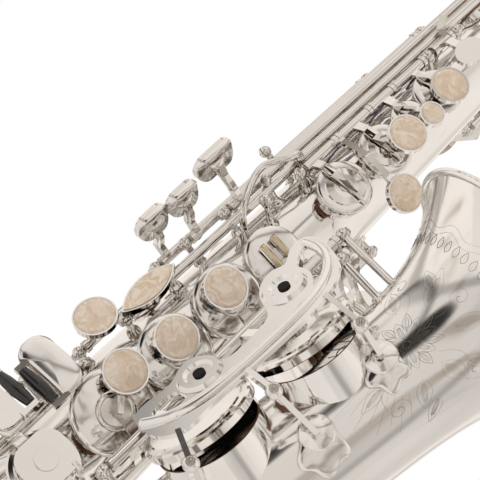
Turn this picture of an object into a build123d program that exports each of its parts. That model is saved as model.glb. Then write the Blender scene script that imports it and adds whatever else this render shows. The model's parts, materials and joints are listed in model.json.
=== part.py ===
from build123d import *
import os
from collections import namedtuple
from math import cos, radians, sin

# Saxophone, in millimetres. It is modelled with the body tube standing on the origin:
# +Z runs up the tube, -Y is the bell side, -X is the player's right-hand side.
# Azimuths are degrees, turning from -Y towards -X. The files are written with the
# centre of the strap ring as origin. Each key is drawn closed, then turned to its rest.

os.makedirs("parts", exist_ok=True)

# ---------------------------------------------------------------- main dimensions
TUBE_LEN = 490.0                            # body tube, bow joint to neck socket
TUBE_BOTTOM_R, TUBE_TOP_R = 29.5, 13.2      # outer radii of the cone
WALL = 1.0                                  # sheet thickness of the tubes
CHIMNEY_WALL = 0.9
CHIMNEY_H = 2.5                             # tone hole rim above the tube surface
HOLE_INSET = 2.6                            # tone hole radius, less than its key cup
BOW_BEND_R = 42.0                           # bend radius of the bow centre line
BOW_TUBE_R = 30.5
BELL_TILT = 12.0                            # bell axis against body axis, degrees
BELL_LEN = 240.0                            # bow joint to rim plane
BELL_JOINT_R, BELL_THROAT_R, BELL_RIM_R = 30.5, 28.5, 57.5
ROD_R = 1.3                                 # steel pivot rod
HINGE_R = 2.4                               # outside of a key's hinge tube
HINGE_END = 3.4                             # post centre to end of hinge tube
COLLAR_LEN = 2.2                            # thickened end of a hinge tube
RUN = 0.05                                  # running clearance, rod in hinge tube
CUP_H = 6.4                                 # key cup top above the tone hole rim
PAD_GAP = 0.1                               # closed pad above the rim
HOLDER_R = 10.0                             # finger pearl holder
REST_RIGHT, REST_LEFT = 8.0, -6.0           # rest angle of the stack keys, degrees
REST_BELL, REST_LOW_C = -7.0, -9.0
STRAP_Y, STRAP_Z = 33.0, 200.0              # strap ring centre

# ball, stem and foot radius of a pivot post
POST = (3.2, 1.7, 4.0)
SLIM_POST = (2.8, 1.5, 3.2)
UP = Vector(0, 0, 1)

# tone holes of the body tube: azimuth, height, key cup radius
Hole = namedtuple("Hole", "azimuth z cup_r")
RIGHT_ROW = 39.0
HOLES = {
    "e_flat": Hole(44, 51.0, 16.0),
    "d": Hole(RIGHT_ROW, 87.6, 18.8),
    "e": Hole(RIGHT_ROW, 125.6, 16.4),
    "f": Hole(RIGHT_ROW, 160.0, 16.2),
    "f_sharp": Hole(RIGHT_ROW, 190.6, 13.4),
    "g_sharp": Hole(-28, 224.0, 10.5),
    "g": Hole(37, 241.0, 12.8),
    "a": Hole(36, 270.6, 12.4),
    "bis": Hole(42, 292.4, 8.8),
    "b": Hole(42, 313.6, 11.6),
    "trill": Hole(130, 143.0, 8.5),
    "side_b_flat": Hole(150, 293.0, 10.0),
    "side_c": Hole(139, 329.0, 9.5),
    "side_e": Hole(128, 377.0, 9.0),
    "high_f_sharp": Hole(117, 421.0, 7.5),
    "palm_d": Hole(-62, 380.0, 8.3),
    "palm_e_flat": Hole(-74, 409.0, 8.0),
    "palm_f": Hole(-86, 438.0, 7.6),
    "pip": Hole(180, 410.0, 4.2),
}
PIP_BORE_R = 1.5                            # bore of the octave pip

# tone holes of the bell: distance along the axis, azimuth about it, key cup radius
BELL_HOLES = {"low_b": (152.0, 102.0, 23.4),
              "low_b_flat": (100.5, 99.0, 24.0),
              "low_c_sharp": (45.0, -80.0, 19.0)}


# ---------------------------------------------------------------- places
def tube_r(z):
    return TUBE_BOTTOM_R + (TUBE_TOP_R - TUBE_BOTTOM_R) * z / TUBE_LEN


def outward(azimuth):
    a = radians(azimuth)
    return Vector(-sin(a), -cos(a), 0)


def sideways(azimuth):
    a = radians(azimuth)
    return Vector(-cos(a), sin(a), 0)


def blend(azimuth, other, share=0.6):
    """direction between two azimuths"""
    return (outward(azimuth) * share + outward(other) * (1 - share)).normalized()


def tube_point(azimuth, r, z):
    return outward(azimuth) * r + UP * z


def over(hole, side, height, z=None):
    """point beside a hole's centre line and above its rim plane, at height z if given"""
    z = hole.z if z is None else z
    r = tube_r(z) + CHIMNEY_H + height
    return outward(hole.azimuth) * r + sideways(hole.azimuth) * side + UP * z


# bell frame: distance along the bell axis, azimuth about it
_tilt = radians(BELL_TILT)
BELL_START = Vector(0, -BOW_BEND_R * (1 + cos(_tilt)), -BOW_BEND_R * sin(_tilt))
BELL_DIR = Vector(0, -sin(_tilt), cos(_tilt))
BELL_FRONT = Vector(0, -cos(_tilt), -sin(_tilt))


def bell_axis(s):
    return BELL_START + BELL_DIR * s


def bell_outward(azimuth):
    a = radians(azimuth)
    return Vector(-1, 0, 0) * sin(a) + BELL_FRONT * cos(a)


def bell_r(s):
    joint = (BELL_JOINT_R - BELL_THROAT_R) * 2.718 ** (-s / 12.0)
    flare = (BELL_RIM_R - BELL_THROAT_R) * max(s / BELL_LEN, 0) ** 9.5
    return BELL_THROAT_R + joint + flare


def bell_seat_r(s):
    """radius of the tone hole rims on the bell"""
    return 33.5 + 3.0 * s / BELL_LEN + 26.5 * (s / BELL_LEN) ** 9.5


# ---------------------------------------------------------------- primitives
def cyl(start, end, r):
    start, end = Vector(start), Vector(end)
    return Solid.make_cylinder(r, (end - start).length, Plane(origin=start, z_dir=end - start))


def cone(start, end, start_r, end_r):
    axis = end - start
    return Solid.make_cone(start_r, end_r, axis.length, Plane(origin=start, z_dir=axis))


def ball(centre, r):
    return Solid.make_sphere(r, Plane(origin=Vector(centre)), -90, 90, 360)


def bar(start, end, width, thick, face_dir, end_width=None):
    """tapering bar, thick along face_dir and wide across it"""
    along = (end - start).normalized()
    across = face_dir.cross(along).normalized()
    sections = []
    for origin, w in ((start, width), (end, end_width or width)):
        plane = Plane(origin=origin, x_dir=across, z_dir=along)
        sections.append((plane * Rectangle(w, thick)).faces()[0].outer_wire())
    return Solid.make_loft(sections, True)


def strip(points, width, thick, face_dir, end_width=None, knee=0.0):
    """chain of bars with rounded knees, fuller than the bars by knee"""
    points = [Vector(p) for p in points]
    face_dir = Vector(face_dir)
    end_width = end_width or width
    count = len(points) - 1
    parts = []
    for i in range(count):
        w0 = width + (end_width - width) * i / count
        w1 = width + (end_width - width) * (i + 1) / count
        parts.append(bar(points[i], points[i + 1], w0, thick, face_dir, w1))
        if i:
            along = (points[i + 1] - points[i - 1]).normalized()
            half = face_dir.cross(along).normalized() * (w0 / 2 - knee)
            parts.append(cyl(points[i] - half, points[i] + half, thick / 2 + knee))
    return parts


def plate(centre, normal, x_dir, outline, thick):
    """sheet of a flat outline, thick along normal"""
    plane = Plane(origin=centre, x_dir=x_dir, z_dir=normal)
    return extrude(plane * outline, thick).solids()[0]


def lathe(profile, origin, z_dir):
    """solid of revolution from (radius, height) points"""
    face = Face(Wire.make_polygon([Vector(r, 0, h) for r, h in profile], close=True))
    solid = revolve(face, axis=Axis.Z, revolution_arc=360).solids()[0]
    return solid.moved(Plane(origin=Vector(origin), z_dir=Vector(z_dir)).location)


def fuse(items):
    return items[0].fuse(*items[1:]) if len(items) > 1 else items[0]


def solids_of(shape):
    if isinstance(shape, (list, tuple, ShapeList)):
        return [solid for item in shape for solid in solids_of(item)]
    return list(shape.solids())


def largest(shape):
    return max(solids_of(shape), key=lambda solid: solid.volume)


NODES = {}


def put(name, items):
    NODES.setdefault(name, []).extend(solids_of(items))


# ---------------------------------------------------------------- rods, posts and keys
RODS, POSTS, KEYS = [], [], []


def add_rod(start, end):
    RODS.append(cyl(start, end, ROD_R))


def add_post(head, foot, sizes=POST):
    """ball-headed post from the surface point foot"""
    ball_r, stem_r, foot_r = sizes
    along = (head - foot).normalized()
    POSTS.append(fuse([ball(head, ball_r), cyl(foot - along * 2.0, head, stem_r),
                       cone(foot - along * 2.0, foot + along * 1.6, foot_r, foot_r * 0.72)]))


def add_tube_post(head, sizes=POST):
    radial = Vector(head.X, head.Y, 0).normalized()
    add_post(head, radial * tube_r(head.Z) + UP * head.Z, sizes)


def add_bell_post(head):
    s = (head - BELL_START).dot(BELL_DIR)
    centre = bell_axis(s)
    add_post(head, centre + (head - centre).normalized() * bell_r(s))


class Key:
    """one key, drawn closed; its rod runs from start to end"""

    def __init__(self, name, start, end, rest=0.0):
        self.name, self.start, self.end, self.rest = name, start, end, rest
        self.metal, self.pads, self.inlays = [], [], {}
        self.cutters, self.pins = [], []    # pins are fused in after the cuts
        KEYS.append(self)

    def on(self, z):
        """point of the hinge axis at height z"""
        share = (z - self.start.Z) / (self.end.Z - self.start.Z)
        return self.start + (self.end - self.start) * share

    def add(self, items):
        self.metal += solids_of(items)

    def arm(self, points, *sizes):
        self.add(strip(points, *sizes))

    def hinge(self, low=None, high=None):
        """hinge tube with a collar at each end, by default right between the posts"""
        low = self.start.Z + HINGE_END if low is None else low
        high = self.end.Z - HINGE_END if high is None else high
        self.add(cyl(self.on(low), self.on(high), HINGE_R))
        for z, length in ((low, COLLAR_LEN), (high, -COLLAR_LEN)):
            self.add(cyl(self.on(z), self.on(z + length), HINGE_R + 0.5))

    def cup(self, rim, normal, r):
        """padded key cup seated over a tone hole rim"""
        self.add(lathe([(r - 0.8, 1.0), (r, 1.0), (r, 4.0), (r - 1.0, 4.7), (r - 3.0, 5.0),
                        (r - 3.6, 5.6), (r * 0.45, 6.2), (0, CUP_H), (0, 4.2), (r - 0.8, 4.2)],
                       rim, normal))
        self.pads.append(lathe([(0, PAD_GAP), (r - 1.9, PAD_GAP), (r - 0.95, 0.9),
                                (r - 0.95, 4.1), (0, 4.1)], rim, normal))

    def seat(self, hole):
        self.cup(over(hole, 0, 0), outward(hole.azimuth), hole.cup_r)

    def hub(self, hole, top, r):
        """round boss on the middle of the cup"""
        self.add(cyl(over(hole, 0, 5.0), over(hole, 0, top), r))

    def seat_with_arm(self, hole, width, end_width, hub_r):
        """cup held by an arm rising over its edge, with a boss in the middle"""
        self.seat(hole)
        self.arm([self.on(hole.z), over(hole, -hole.cup_r + 3, 8.4), over(hole, 1, 7.2)],
                 width, 2.2, outward(hole.azimuth), end_width)
        self.hub(hole, 7.6, hub_r)

    def pearl(self, node, back, normal, r=HOLDER_R):
        """round finger pearl in a holder whose back face is centred on back"""
        recess_r = r - 0.75
        self.add(lathe([(0, 0), (r - 1.2, 0), (r, 0.8), (r, 3.6), (recess_r, 3.6),
                        (recess_r, 1.4), (0, 1.4)], back, normal))
        self.cutters.append(cyl(back + normal * 1.4, back + normal * 9, recess_r))
        self.inlays[node] = lathe([(0, 1.45), (r - 0.8, 1.45), (r - 0.8, 3.5), (r - 1.7, 4.15),
                                   (r * 0.5, 4.45), (0, 4.5)], back, normal)

    def finish(self):
        along = (self.end - self.start).normalized()
        bore = cyl(self.start - along * 30, self.end + along * 30, ROD_R + RUN)
        body = fuse(self.metal).cut(bore, *self.cutters)
        if self.pins:
            body = body.fuse(*self.pins)
        body = [solid for solid in solids_of(body) if solid.volume > 1.0]
        axis = Axis(self.start, along)
        put(self.name, [solid.rotate(axis, self.rest) for solid in body + self.pads])
        for node, inlay in self.inlays.items():
            put(node, inlay.rotate(axis, self.rest))


def tube_key(name, start, end, sizes=POST):
    """key on a rod of its own, between two posts on the body tube"""
    add_rod(start, end)
    add_tube_post(start, sizes)
    add_tube_post(end, sizes)
    return Key(name, start, end)


# ================================================================ body tube
tube_solid = Solid.make_cone(TUBE_BOTTOM_R, TUBE_TOP_R, TUBE_LEN)
tube_bore = Solid.make_cone(TUBE_BOTTOM_R - WALL, TUBE_TOP_R - WALL, TUBE_LEN)
BEAD_LEN, BEAD_H = 8, 1.4                   # bead round the neck end

tube_parts, drills = [tube_solid], []
for hole in HOLES.values():
    bore_r = hole.cup_r - HOLE_INSET if hole.cup_r > 5 else PIP_BORE_R
    inside = tube_point(hole.azimuth, 2, hole.z)
    tube_parts.append(cyl(inside, over(hole, 0, 0), bore_r + CHIMNEY_WALL))
    drills.append(cyl(inside, over(hole, 0, 5), bore_r))
tube_parts.append(cyl((0, 0, TUBE_LEN - BEAD_LEN), (0, 0, TUBE_LEN), TUBE_TOP_R + BEAD_H))
put("body_tube", fuse(tube_parts).cut(tube_bore, *drills))

# ================================================================ bow
LOW_C = Vector(0, -7.6, -24.0)              # centre of the bow tube at the low C hole
LOW_C_CUP_R = 19.6
RIGHT = Vector(-1, 0, 0)
low_c_rim = LOW_C + RIGHT * (BOW_TUBE_R + CHIMNEY_H)


def bow_bend(r):
    """bent rod of the bow, below the tube, turning from body to bell"""
    return revolve(Face(Wire.make_circle(r, Plane.XY)), axis=Axis((0, -BOW_BEND_R, 0), (1, 0, 0)),
                   revolution_arc=-(180 - BELL_TILT)).solids()[0]


bow_solid = bow_bend(BOW_TUBE_R)
low_c_bore_r = LOW_C_CUP_R - HOLE_INSET
low_c_chimney = cyl(LOW_C, low_c_rim, low_c_bore_r + CHIMNEY_WALL)
low_c_drill = cyl(LOW_C, low_c_rim + RIGHT * 5, low_c_bore_r)
put("bow", bow_solid.fuse(low_c_chimney).cut(bow_bend(BOW_TUBE_R - WALL), low_c_drill))

# ================================================================ bell
PROFILE_STEPS = 26


def bell_profile(inset):
    stations = [BELL_LEN * (i / PROFILE_STEPS) ** 0.72 for i in range(PROFILE_STEPS + 1)]
    return [Vector(bell_r(s) - inset, 0, s) for s in stations]


def bell_revolved(thick=None):
    """bell shell of the given thickness, or the filled bell"""
    outside = bell_profile(0)
    edges = [Edge.make_spline(outside)]
    if thick is None:
        top, bottom = Vector(0, 0, BELL_LEN), Vector(0, 0, 0)
        edges += [Edge.make_line(outside[-1], top), Edge.make_line(top, bottom),
                  Edge.make_line(bottom, outside[0])]
    else:
        inside = bell_profile(thick)
        edges += [Edge.make_line(outside[-1], inside[-1]), Edge.make_spline(inside),
                  Edge.make_line(inside[0], outside[0])]
    solid = revolve(Face(Wire(edges)), axis=Axis.Z, revolution_arc=360).solids()[0]
    return solid.moved(Plane(origin=BELL_START, x_dir=(1, 0, 0), z_dir=BELL_DIR).location)


bell_wall = bell_revolved(WALL)
bell_solid = bell_revolved()
rim_bead = Solid.make_torus(BELL_RIM_R - 0.2, 1.7,
                            Plane(origin=bell_axis(BELL_LEN), z_dir=BELL_DIR))
bell_parts, bell_drills = [bell_wall, rim_bead], []
BELL_RIMS = {}                              # rim centre, outward direction, key cup radius
for name, (s, azimuth, cup_r) in BELL_HOLES.items():
    normal = bell_outward(azimuth)
    centre = bell_axis(s)
    seat_r = bell_seat_r(s)
    bore_r = cup_r - HOLE_INSET
    BELL_RIMS[name] = (centre + normal * seat_r, normal, cup_r)
    bell_parts.append(cyl(centre + normal * 8, centre + normal * seat_r, bore_r + CHIMNEY_WALL))
    bell_drills.append(cyl(centre + normal * 7, centre + normal * (seat_r + 5), bore_r))
bell_core = solids_of(bell_solid.cut(bell_wall))[0]
put("bell", fuse(bell_parts).cut(bell_core, *bell_drills))

# ferrule rings over the two bow joints
put("bow_ferrules", [
    largest(cyl((0, 0, -1.5), (0, 0, 7.5), 32.0).cut(tube_solid, bow_solid)),
    largest(cyl(bell_axis(-4.0), bell_axis(6.0), 33.0).cut(bell_solid, bow_solid))])

# ================================================================ right-hand stack
STACK_SIDE = sideways(RIGHT_ROW) * -23.0
right_start = tube_point(RIGHT_ROW, 29.0, 66) + STACK_SIDE
right_end = tube_point(RIGHT_ROW, 26.0, 210) + STACK_SIDE
add_tube_post(right_start)
add_tube_post(right_end)
add_rod(right_start, right_end)

# hole, hinge tube ends, pearl back (azimuth, radius, height), offset of the adjusting arm
RIGHT_STACK = [("d", 69.5, 107.0, (51.6, 42.5, 99.6), -7),
               ("e", 107.3, 142.0, (45.6, 41.5, 125.9), 8),
               ("f", 142.3, 175.5, (46.9, 40.5, 158.0), 8),
               ("f_sharp", 175.8, 206.5, None, None)]
for note, low, high, pearl_at, arm_dz in RIGHT_STACK:
    hole = HOLES[note]
    face_dir = outward(hole.azimuth)
    edge = -hole.cup_r
    key = Key("key_" + note, right_start, right_end, REST_RIGHT)
    key.hinge(low, high)
    key.seat(hole)
    key.arm([key.on(hole.z), over(hole, edge - 1.2, 5.2), over(hole, edge + 4, 6.6),
             over(hole, 0, 6.8)], 6.0, 2.2, face_dir, 5.0)
    key.hub(hole, 8.2, 3.0)
    if pearl_at:
        back = tube_point(*pearl_at)
        normal = blend(pearl_at[0], hole.azimuth)
        key.arm([over(hole, -1.5, 7.0), back - normal * 2.6, back + normal * 0.4],
                4.6, 2.2, UP)
        key.add(cyl(back - normal * 3.2, back + normal * 0.3, 3.4))
        key.pearl("pearl_" + note, back, normal)
        # adjusting arm with a round regulation head reaching over the cup
        z = hole.z + arm_dz
        key.arm([key.on(z), over(hole, edge - 1.0, 5.4, z), over(hole, edge + 5.5, 7.6, z)],
                4.0, 2.0, face_dir)
        key.add(cyl(over(hole, edge + 5.5, 5.2, z), over(hole, edge + 5.5, 10.2, z), 2.3))
    else:
        # bridge of two bars and two round screw heads on the F sharp cup
        for dz in (-3.4, 3.4):
            z = hole.z + dz
            key.add(bar(over(hole, -8.0, 8.6, z), over(hole, 7.0, 8.6, z), 3.0, 2.0, face_dir))
        key.add(cyl(over(hole, -8.0, 6.0), over(hole, -8.0, 9.4), 4.6))
        for dz in (-2.6, 2.6):
            key.add(ball(over(hole, -9.2, 10.4, hole.z + dz), 2.2))

# ================================================================ left-hand stack
LEFT_ROD = 76                               # azimuth of the rod
left_start = tube_point(LEFT_ROD, 31.0, 233)
left_end = tube_point(LEFT_ROD, 28.2, 349)
for z in (233, 327, 349):
    add_tube_post(left_start + (left_end - left_start) * ((z - 233) / 116.0))
add_rod(left_start, left_end)


def left_key(note, low, high):
    hole = HOLES[note]
    r = hole.cup_r
    key = Key("key_" + note, left_start, left_end, REST_LEFT)
    key.hinge(low, high)
    key.seat(hole)
    key.arm([key.on(hole.z), over(hole, r + 1.2, 5.0), over(hole, r - 4, 6.8),
             over(hole, -r * 0.35, 7.0)], 5.2, 2.0, outward(hole.azimuth), 2.4)
    key.hub(hole, 6.9, 3.2)
    return key


# G: the pearl sits at the end of a long curved arm
G_ARM_Z = 255.7
key = left_key("g", 236.4, 258.6)
key.arm([key.on(G_ARM_Z), tube_point(62, 36.0, G_ARM_Z), tube_point(40, 37.4, G_ARM_Z),
         tube_point(20, 36.6, G_ARM_Z + 0.6), tube_point(7, 36.4, G_ARM_Z + 1.2)],
        2.8, 2.4, outward(35), 3.4)
key.pearl("pearl_g", tube_point(1.5, 35.8, 257.6), outward(14), 9.3)

# note, hinge tube ends, arm start beside the hole, arm middle (side, height, z),
# arm end and pearl back (azimuth, radius, z), two azimuths the pearl faces between,
# arm width, holder radius
LEFT_STACK = [
    ("a", 258.9, 283.0, 4, (1, 10.4, 274.0), (32, 34.6, 278.2), (31.0, 35.0, 278.6),
     (31, 40), 4.2, 9.5),
    ("bis", 283.3, 300.6, 4, (0, 9.2, 294.0), (31, 32.2, 296.4), (28.6, 32.4, 296.8),
     (28, 44), 3.6, 6.2),
    ("b", 300.9, 323.6, 3, (-1, 10.0, 314.0), (36, 33.0, 314.0), (35.0, 33.4, 314.4),
     (35, 44), 4.2, 9.3)]
for note, low, high, side, middle, arm_end, pearl_at, facing, width, holder_r in LEFT_STACK:
    key = left_key(note, low, high)
    hole = HOLES[note]
    key.arm([over(hole, side, 6.8), over(hole, *middle), tube_point(*arm_end)], width, 2.0, UP)
    key.pearl("pearl_" + note, tube_point(*pearl_at), blend(*facing), holder_r)

# front F touch: an oval on its own short section of the same rod
key = Key("key_front_f", left_start, left_end)
key.hinge(330.6, 345.4)
key.arm([key.on(337), tube_point(66, 33.5, 337), tube_point(56, 34.6, 336.8),
         tube_point(50, 34.4, 336.6)], 4.5, 2.0, outward(60))
key.add(plate(tube_point(46, 34.0, 337.5), outward(46), outward(46).cross(UP),
              Ellipse(6.4, 8.6), 2.4))
key.arm([key.on(342), tube_point(82, 33.4, 342.5), tube_point(88, 34.8, 350)],
        3.6, 1.8, outward(84))


# ================================================================ long side keys
def side_rod_r(z):
    return 35 - 5 * (z - 160) / 230.0


# hole: rod azimuth, rod ends, paddle azimuth, radius, height and half length
SIDE_KEYS = {"side_e": (101, 196, 391, 98.0, 58.0, 205.5, 11.0),
             "side_c": (112, 174, 343, 96.0, 55.5, 181.0, 8.6),
             "side_b_flat": (123, 158, 306, 98.0, 56.0, 163.2, 8.4)}
for note, (rod_az, low, high, paddle_az, paddle_r, paddle_z, half_len) in SIDE_KEYS.items():
    key = tube_key("key_" + note, tube_point(rod_az, side_rod_r(low), low),
                   tube_point(rod_az, side_rod_r(high), high))
    key.hinge(low + 3.5, high - 3.5)
    key.seat_with_arm(HOLES[note], 4.8, 3.6, 2.8)
    paddle = tube_point(paddle_az, paddle_r, paddle_z)
    arm_z = max(paddle_z, low + 8)
    key.arm([key.on(arm_z), tube_point(rod_az - 3, side_rod_r(low) + 7, arm_z),
             tube_point(rod_az * 0.3 + paddle_az * 0.7, paddle_r - 9, (arm_z + paddle_z) / 2),
             paddle], 5.0, 2.6, UP, 4.4, 0.2)
    normal = (outward(paddle_az) * 0.55 + sideways(paddle_az) * 0.83).normalized()
    key.add(plate(paddle - normal * 0.4, normal, UP,
                  RectangleRounded(2 * half_len, 12.5, 5.0), 3.0))


# ================================================================ high F sharp key
def marquise(half_len, half_width):
    """pointed oval of two arcs"""
    tips = (-half_len, 0), (half_len, 0)
    upper = ThreePointArc(tips[0], (0, half_width), tips[1])
    lower = ThreePointArc(tips[1], (0, -half_width), tips[0])
    return make_face(Wire([upper.edge(), lower.edge()]))


key = tube_key("key_high_f_sharp", tube_point(90, 33.0, 125), tube_point(90, 27.0, 433))
key.hinge()
key.seat_with_arm(HOLES["high_f_sharp"], 4.4, 3.4, 2.6)
touch = tube_point(76.3, 42.6, 137.0)
normal = blend(76, 30, 0.75)
key.arm([key.on(134), tube_point(86, 38.0, 134), touch - normal * 1.0], 4.8, 2.6, UP)
# holder, recess and pearl outlines; plain ellipses stand in if make_face refuses a wire
try:
    outlines = marquise(16.4, 6.6), marquise(15.2, 5.8), marquise(15.1, 5.7)
except Exception:
    outlines = Ellipse(16.4, 6.6), Ellipse(15.4, 5.8), Ellipse(15.3, 5.7)
holder_outline, recess_outline, pearl_outline = outlines
lengthwise = (UP - normal * normal.Z).normalized()
key.add(plate(touch, normal, lengthwise, holder_outline, 3.4).cut(
    plate(touch + normal * 1.3, normal, lengthwise, recess_outline, 3.0)))
key.inlays["pearl_high_f_sharp"] = plate(touch + normal * 1.35, normal, lengthwise,
                                         pearl_outline, 2.7)

# ================================================================ F sharp trill key
key = tube_key("key_f_sharp_trill", tube_point(102, 33.0, 101), tube_point(102, 33.0, 155.5))
key.hinge(104.4, 152.0)
hole = HOLES["trill"]
key.seat(hole)
key.arm([key.on(hole.z), over(hole, -hole.cup_r + 1, 7.2), over(hole, 1, 7.2)],
        4.8, 2.2, outward(hole.azimuth), 3.6)
normal = blend(84, 34)
back = tube_point(84.5, 46.0, 111.5)
key.arm([key.on(111.0), tube_point(98, 40.0, 111.2), back - normal * 1.6], 5.0, 2.6, UP)
key.add(cyl(back - normal * 2.6, back + normal * 0.3, 3.4))
key.pearl("pearl_f_sharp_trill", back, normal)

# ================================================================ right little finger keys
TOUCH_OUT, TOUCH_SIDE = outward(48), sideways(48)    # the two touches face TOUCH_OUT
ROLLER_LEN, ROLLER_R, ROLLER_PIN_R = 19.0, 3.1, 0.8
E_FLAT_TOUCH = tube_point(75.0, 52.6, 80.4)
LOW_C_TOUCH = tube_point(75.0, 52.6, 53.0)


def roller(centre):
    half = ROLLER_LEN / 2 - 0.1
    bore_r = ROLLER_PIN_R + 0.05
    end_r, mid_r = ROLLER_R - 0.9, ROLLER_R - 0.3
    return lathe([(bore_r, -half), (end_r, -half), (mid_r, -half * 0.55), (ROLLER_R, 0),
                  (mid_r, half * 0.55), (end_r, half), (bore_r, half)], centre, TOUCH_SIDE)


def add_roller_touch(key, centre, facing, height, corner_r, roller_node):
    """touch plate with a roller along its upper (facing 1) or lower (-1) edge"""
    key.add(plate(centre - TOUCH_OUT * 1.2, TOUCH_OUT, TOUCH_SIDE,
                  RectangleRounded(29, height, corner_r), 2.2))
    middle = centre - TOUCH_SIDE * 3.0 + UP * (9.6 * facing) + TOUCH_OUT * 0.6
    for side in (-1, 1):
        lug = middle + TOUCH_SIDE * (side * (ROLLER_LEN / 2 + 1.5)) - TOUCH_OUT * 0.5
        key.add(bar(lug - UP * (6.5 * facing), lug + UP * (2.2 * facing), 2.4, 3.2, TOUCH_OUT))
    slot_half = TOUCH_SIDE * (ROLLER_LEN / 2 + 0.15)
    key.cutters.append(cyl(middle - slot_half, middle + slot_half, ROLLER_R + 0.5))
    pin_half = TOUCH_SIDE * (ROLLER_LEN / 2 + 2)
    key.pins.append(cyl(middle - pin_half, middle + pin_half, ROLLER_PIN_R))
    key.inlays[roller_node] = roller(middle)


e_flat = HOLES["e_flat"]
foot = outward(e_flat.azimuth) * 31.0 + sideways(e_flat.azimuth) * 20.0
key = tube_key("key_e_flat", foot + UP * 31, foot + UP * 95)
key.hinge()
key.seat(e_flat)
key.arm([key.on(e_flat.z), over(e_flat, e_flat.cup_r + 0.5, 5.4),
         over(e_flat, e_flat.cup_r - 5, 7.0), over(e_flat, 0, 7.0)],
        6.0, 2.2, outward(e_flat.azimuth), 4.6)
key.arm([key.on(82), key.on(82) + outward(84) * 9, E_FLAT_TOUCH - TOUCH_OUT * 0.4],
        5.4, 2.6, UP)
add_roller_touch(key, E_FLAT_TOUCH, -1, 16.5, 7.0, "low_e_flat_roller")

start, end = Vector(-34.5, 17.0, -33), Vector(-34.5, 17.0, 77)
add_rod(start, end)
add_post(start, Vector(-24.0, 12.2, -20.0))
add_tube_post(end)
key = Key("key_low_c", start, end, REST_LOW_C)
key.hinge(-25.6)
key.cup(low_c_rim, RIGHT, LOW_C_CUP_R)
key.arm([key.on(-20), Vector(low_c_rim.X - 7.4, 9.5, -22),
         Vector(low_c_rim.X - 7.2, LOW_C.Y, LOW_C.Z)], 6.6, 2.3, RIGHT, 5.0, 0.2)
key.arm([key.on(55), Vector(-44, 12, 55), Vector(-50.5, 0, 54.0),
         LOW_C_TOUCH - TOUCH_OUT * 0.4], 5.4, 2.6, UP)
add_roller_touch(key, LOW_C_TOUCH, 1, 17.0, 7.5, "low_c_roller")

# ================================================================ bell keys
# hole, y of the rod, rod ends, height of the arm reaching towards the levers
BELL_KEYS = [("low_b", -78.0, 109.4, 190, 184.3), ("low_b_flat", -66.0, 58, 203, 197.9)]
for note, rod_y, low, high, reach_z in BELL_KEYS:
    rim, normal, cup_r = BELL_RIMS[note]
    start, end = Vector(-31.5, rod_y, low), Vector(-31.5, rod_y, high)
    add_rod(start, end)
    add_bell_post(start)
    add_bell_post(end)
    key = Key("key_" + note, start, end, REST_BELL)
    key.hinge()
    key.cup(rim, normal, cup_r)
    top = rim + normal * 7.0
    for dz in (-9, 9):
        z = rim.Z + dz
        key.arm([key.on(z), Vector(rim.X - 6.6, (rod_y + rim.Y + cup_r) / 2 - 2.0, z),
                 top + Vector(0, 6, dz * 0.62), top + Vector(0, -2, dz * 0.2)],
                5.0, 2.3, normal, 4.2)
    key.add(cyl(rim + normal * 5.2, rim + normal * 8.4, 4.2))
    reach = key.on(reach_z)
    key.arm([reach, reach + Vector(12, 5, 0), reach + Vector(26, 9, 0)], 4.0, 2.2, UP)

# low C sharp, on the +X side of the bell
rim, normal, cup_r = BELL_RIMS["low_c_sharp"]
start, end = Vector(38.0, -64.0, 20), Vector(38.0, -64.0, 208)
add_rod(start, end)
add_bell_post(start)
add_tube_post(end, (3.2, 1.7, 2.8))
key = Key("key_low_c_sharp", start, end)
key.hinge(23.4, 204.5)
key.cup(rim, normal, cup_r)
key.arm([key.on(rim.Z), Vector(rim.X + 7.2, rim.Y + cup_r - 3, rim.Z), rim + normal * 7.0],
        6.4, 2.3, normal, 5.0)
key.arm([key.on(201), Vector(44.0, -54.0, 202), Vector(47.0, -46.0, 203)], 5.0, 2.4, UP)
key.add(plate(Vector(46.0, -43.0, 203), Vector(0.94, -0.34, 0), UP,
              RectangleRounded(14, 17, 4.0), 2.2))

# ================================================================ left little finger table
start, end = Vector(38.5, 2.0, 172.5), Vector(38.5, 2.0, 202.5)
add_rod(start, end)
add_tube_post(start)
add_tube_post(end)
# hinge tube ends, arm to the bell key (root z, points, end width, knee),
# arm to the touch (root z, points), y of the touch plate
LEVERS = {
    "lever_low_b": ((175.9, 186.9),
                    (181.4, [(36, -22, 181.4), (19, -56, 181.4), (-3, -75, 181.4)], 3.0, 0.2),
                    (181.4, [(39.5, -10, 181.4), (41.5, -19, 182), (46.6, -24.5, 184)]), -24.5),
    "lever_low_b_flat": ((187.2, 199.1),
                         (195.0, [(34, -24, 195), (18, -48, 195), (-3, -63, 195)], 4.0, 0.0),
                         (192.0, [(42.5, -3.5, 192), (46.6, -9.0, 191)]), -9.5),
}
for name, (ends, (reach_z, reach, end_width, knee), (touch_z, to_touch), y) in LEVERS.items():
    key = Key(name, start, end)
    key.hinge(*ends)
    key.arm([key.on(reach_z)] + reach, 4.4, 2.4, UP, end_width, knee)
    key.arm([key.on(touch_z)] + to_touch, 4.6, 2.4, UP)
    key.add(plate(Vector(46.0, y, 187.0), Vector(1, 0, 0), UP,
                  RectangleRounded(24, 13.5, 3.5), 2.2))

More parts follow.
